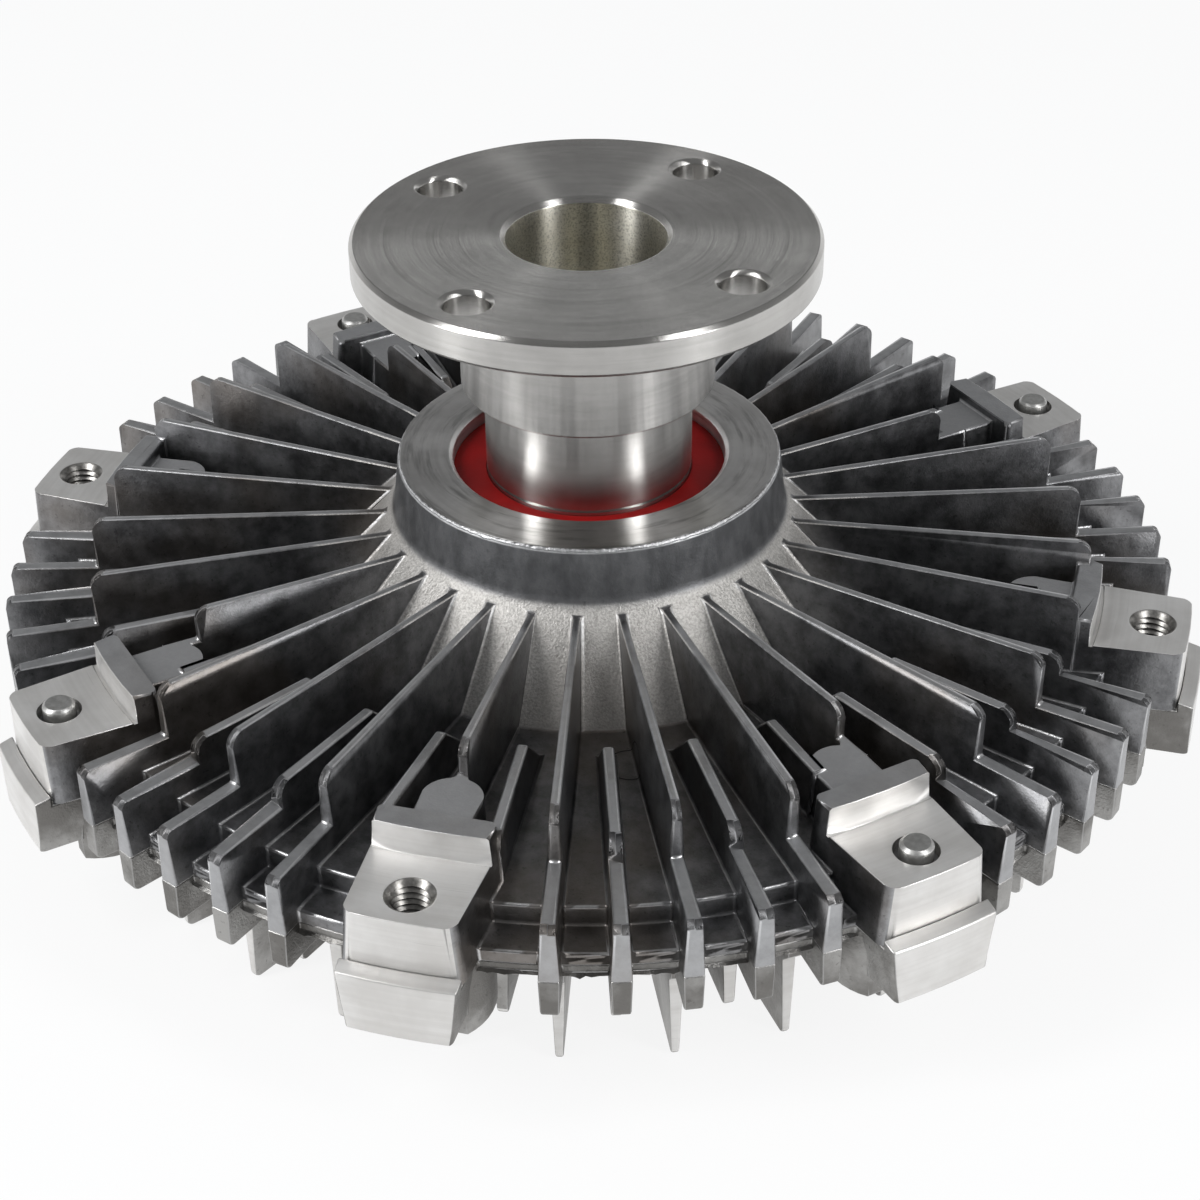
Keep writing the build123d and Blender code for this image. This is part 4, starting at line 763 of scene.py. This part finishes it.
def leave_flash():
    """Ragged flash that stands out of the parting line under the rim."""
    foot = PARTING - 0.0016
    profile = ((0.0, 0.0), (0.0006, 0.0003), (0.0, 0.0007))
    points = [(FLASH_RADIUS + out, 0, foot - down) for out, down in profile]
    shape = bmesh.new()
    bmesh.ops.spin(
        shape,
        geom=open_line(shape, points),
        cent=(0, 0, 0),
        axis=(0, 0, 1),
        angle=2 * math.pi,
        steps=720,
        use_merge=True,
    )
    bmesh.ops.recalc_face_normals(shape, faces=shape.faces)
    for vert in shape.verts:
        if vert.co.z < foot - 0.0001:
            rag = noise.noise(vert.co * 420.0) + 0.6 * noise.noise(vert.co * 1300.0)
            vert.co.z -= max(0.0, rag) * 0.0009
            vert.co.xy *= 1.0 + max(0.0, -rag) * 0.002
    piece_from(shape, "parting_flash", "housing", [COVER_CAST])


# Cover with turned fin ends, block faces and lips
def cover_zone(place, normal):
    """Finish of a face of the cover by where it lies and looks."""
    radius = radius_of(place)
    away = outward(place, normal)
    past_fin = radius - FRONT_FIN_RADIUS
    over_fin = place.z - FRONT_FIN_TURNED
    on_block = radius > BLOCK_RADIUS - 0.0005 and away > 0.8
    on_lip = radius > PAD_RADIUS - 0.0004 and normal.z > 0.5 and place.z > PARTING + 0.0010
    on_fin = -0.0025 < past_fin < 0.0005 and away > FACING and over_fin < 0.0005
    on_step = -0.0010 < past_fin < 0.0030 and away > 0.6 and -0.0005 < over_fin < 0.0035
    on_parting = place.z > PARTING - 0.0001 and normal.z > FACING
    return BRIGHT if on_block or on_lip or on_fin or on_step or on_parting else CAST


def finish_cover():
    """The cover with its turned faces and rounded edges."""
    shape = merged_copy("front_cover")
    for face in shape.faces:
        face.material_index = cover_zone(face.calc_center_median(), face.normal)
    mark_wear_and_highlight(shape, round_edges(shape, sharp_edges(shape), COVER_EDGE, 2))
    finishes = [COVER_CAST, TURNED_ALUMINIUM]
    piece_from(shape, "cover_finished", "housing", finishes, "front_cover")


# Shaft and small pieces
def finish_shaft():
    """The shaft with its rough bore, and with the edges rounded that show above the ring."""
    shape = merged_copy("input_shaft")
    for face in shape.faces:
        place = face.calc_center_median()
        in_bore = radius_of(place) < BORE_RADIUS + 0.0003 and place.z > BORE_FOOT
        face.material_index = BORE if in_bore else OUTSIDE
    shown = [edge for edge in sharp_edges(shape, 30) if min(vert.co.z for vert in edge.verts) > RING_TOP]
    mark_wear_and_highlight(shape, round_edges(shape, shown, SHAFT_EDGE, 2))
    piece_from(shape, "shaft_finished", "input", [TURNED_STEEL, BORED_STEEL], "input_shaft")


def finish_small(node, name, body, material, width):
    """A small piece with its edges rounded."""
    shape = merged_copy(node)
    mark_wear_and_highlight(shape, round_edges(shape, sharp_edges(shape, 30), width, 2))
    piece_from(shape, name, body, [material], node)


# Bimetal coil
def strip_end(shape, near, far):
    """The strip's end as a face over the strip's whole width, between two points in plan."""
    low, high = (corner[2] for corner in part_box("bimetal_coil"))
    corners = ((*near, low), (*far, low), (*far, high), (*near, high))
    return [shape.faces.new([shape.verts.new(corner) for corner in corners])]


def push_out(shape, faces, way):
    """Push faces out of the shape along a way."""
    made = bmesh.ops.extrude_face_region(shape, geom=faces)
    moved = [part for part in made["geom"] if isinstance(part, bmesh.types.BMVert)]
    bmesh.ops.translate(shape, vec=way, verts=moved)


def round_strip(shape):
    """Turn the strip's faces outward and round its edges."""
    bmesh.ops.recalc_face_normals(shape, faces=shape.faces)
    mark_wear_and_highlight(shape, round_edges(shape, sharp_edges(shape, 40), STRIP_EDGE, 2))


def wind_coil():
    """The bimetal strip in half turns that grow outward, with its outer end turned out into the post."""
    shape = bmesh.new()
    end = strip_end(shape, (COIL_START - STRIP / 2, 0), (COIL_START + STRIP / 2, 0))
    for number in range(COIL_HALF_TURNS):
        centre = (COIL_PITCH / 4 if number % 2 else -COIL_PITCH / 4, 0, 0)
        made = bmesh.ops.spin(shape, geom=end, cent=centre, axis=(0, 0, 1), angle=math.pi, steps=24)
        end = [part for part in made["geom_last"] if isinstance(part, bmesh.types.BMFace)]
    push_out(shape, end, (0, -STRIP, 0))
    outermost = min(shape.faces, key=lambda face: face.calc_center_median().x)
    push_out(shape, [outermost], (-COIL_POST_CIRCLE - outermost.calc_center_median().x, 0, 0))
    round_strip(shape)
    piece_from(shape, "coil_turns", "housing", [BIMETAL], "bimetal_coil")


def bend_tongue():
    """The strip's inner end: held in the spindle's slot, and running straight from there to the first turn."""
    reach = COIL_START + STRIP / 2
    shape = bmesh.new()
    end = strip_end(shape, (0, -STRIP / 2), (0, STRIP / 2))
    bmesh.ops.spin(shape, geom=end, axis=(0, 0, 1), dvec=(reach / 24, 0, 0), angle=0.0, steps=24)
    round_strip(shape)
    bend = ("valve", TONGUE_ON_HOUSING, TONGUE_ON_VALVE)
    piece_from(shape, "coil_tongue", "housing", [BIMETAL], bend=bend)


finish_housing()
leave_flash()
finish_cover()
finish_shaft()
finish_small("shaft_seal", "seal_finished", "housing", SEAL_RED, width=0.0002)
finish_small("cover_screws", "screws_finished", "housing", ZINC, width=0.00012)
finish_small("cover_screw_washers", "washers_finished", "housing", ZINC, width=0.00015)
finish_small("valve_spindle", "spindle_finished", "valve", TURNED_STEEL, width=0.00015)
finish_small("spindle_clip", "clip_finished", "valve", SPRING_STEEL, width=0.00015)
finish_small("fill_plug", "plug_finished", "housing", PRESSED_ALUMINIUM, width=0.0003)
wind_coil()
bend_tongue()

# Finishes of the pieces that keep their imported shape
KEPT = {
    "seal_spring": SPRING_STEEL,
    "cover_seal_ring": BLACK_RUBBER,
    "bearing_outer_ring": GROUND_STEEL,
    "bearing_inner_ring": GROUND_STEEL,
    "bearing_balls": GROUND_STEEL,
    "bearing_cage": CAGE_PLASTIC,
    "bearing_shields": ZINC,
    "bearing_retaining_ring": SPRING_STEEL,
    "rotor": TURNED_ALUMINIUM,
    "separator_plate": TURNED_ALUMINIUM,
    "plate_screws": ZINC,
    "valve_arm": SPRING_STEEL,
    "spindle_seal_ring": BLACK_RUBBER,
}
for node, material in KEPT.items():
    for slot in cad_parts[node].material_slots:
        slot.material = material


# Floor, surroundings, lamps and camera
def backdrop_share(tree):
    """1 for the rays that see the background: camera, mirror and see-through rays."""
    ray = add(tree, "ShaderNodeLightPath").outputs
    seen = plus(tree, ray["Is Camera Ray"], ray["Is Glossy Ray"])
    return plus(tree, seen, ray["Is Transmission Ray"], clamp=True)


def mixed(tree, share, first, second):
    """Two shaders mixed by a share of the second one."""
    return add(tree, "ShaderNodeMixShader", {0: share, 1: first.outputs[0], 2: second.outputs[0]}).outputs[0]


def lay_floor():
    """A matt pale floor, with a glow of its own where it is seen."""
    material = bpy.data.materials.new("pale_floor")
    material.use_nodes = True
    tree = material.node_tree
    tree.nodes.remove(tree.nodes["Principled BSDF"])
    matt = add(tree, "ShaderNodeBsdfDiffuse", {"Color": (0.86, 0.86, 0.86, 1.0)})
    glow = add(tree, "ShaderNodeEmission", {"Color": (1.0, 1.0, 1.0, 1.0), "Strength": 1.0})
    surface = mixed(tree, times(tree, backdrop_share(tree), FLOOR_GLOW), matt, glow)
    tree.links.new(surface, tree.nodes["Material Output"].inputs["Surface"])
    shape = bmesh.new()
    bmesh.ops.create_grid(shape, x_segments=1, y_segments=1, size=FLOOR_REACH)
    mesh = bpy.data.meshes.new("floor")
    shape.to_mesh(mesh)
    shape.free()
    mesh.materials.append(material)
    floor = place_object("floor", mesh)


def light_surroundings():
    """White where it is seen, mirrored greyer overhead and on the camera's side, and cooler as light."""
    world = bpy.data.worlds.new("studio")
    bpy.context.scene.world = world
    world.use_nodes = True
    tree = world.node_tree
    tree.nodes.clear()
    course = add(tree, "ShaderNodeTexCoord").outputs["Generated"]
    toward = vector_calc(tree, "DOT_PRODUCT", {0: course, 1: CAMERA_SIDE}, "Value")
    overhead = spread(tree, step(tree, split(tree, course)["Z"], 0.08, 0.40), 1.0, 0.21)
    near = spread(tree, step(tree, toward, 0.30, 0.92), 1.0, 0.08)
    seen = add(tree, "ShaderNodeLightPath").outputs["Is Camera Ray"]
    shown = calc(tree, "MAXIMUM", calc(tree, "MINIMUM", overhead, near), seen)
    plain = add(tree, "ShaderNodeBackground", {"Color": (0.9, 0.95, 1.0, 1.0), "Strength": 0.45})
    white = add(tree, "ShaderNodeBackground", {"Color": (1.0, 1.0, 1.0, 1.0), "Strength": shown})
    out = add(tree, "ShaderNodeOutputWorld")
    tree.links.new(mixed(tree, backdrop_share(tree), plain, white), out.inputs["Surface"])


def hang_lamp(name, place, width, power):
    """A soft rectangular lamp that looks at the part."""
    light = bpy.data.lights.new(name, "AREA")
    light.shape = "RECTANGLE"
    light.size = width
    light.size_y = LAMP_HEIGHT
    light.energy = power
    lamp = place_object(name, light)
    lamp.location = place
    lamp.rotation_euler = (Vector(LAMP_AIM) - Vector(place)).to_track_quat("-Z", "Y").to_euler()


def set_camera():
    """The photograph's own view."""
    data = bpy.data.cameras.new("view")
    data.lens = LENS
    data.sensor_width = 36.0
    data.clip_start = 0.01
    camera = place_object("view", data)
    look = Vector(CAMERA_COURSE).normalized()
    level = look.cross(Vector((0, 0, 1))).normalized()
    upright = level.cross(look)
    right = level * math.cos(CAMERA_ROLL) + upright * math.sin(CAMERA_ROLL)
    up = upright * math.cos(CAMERA_ROLL) - level * math.sin(CAMERA_ROLL)
    columns = Matrix((right, up, -look)).transposed().to_4x4()
    camera.matrix_world = Matrix.Translation(CAMERA_PLACE) @ columns
    bpy.context.scene.camera = camera


lay_floor()
light_surroundings()
hang_lamp("left_lamp", (-0.62, -0.52, 0.62), width=0.22, power=7.0)
hang_lamp("right_lamp", (0.78, -0.30, 0.55), width=0.20, power=5.0)
set_camera()
bpy.context.scene.view_settings.view_transform = "Standard"
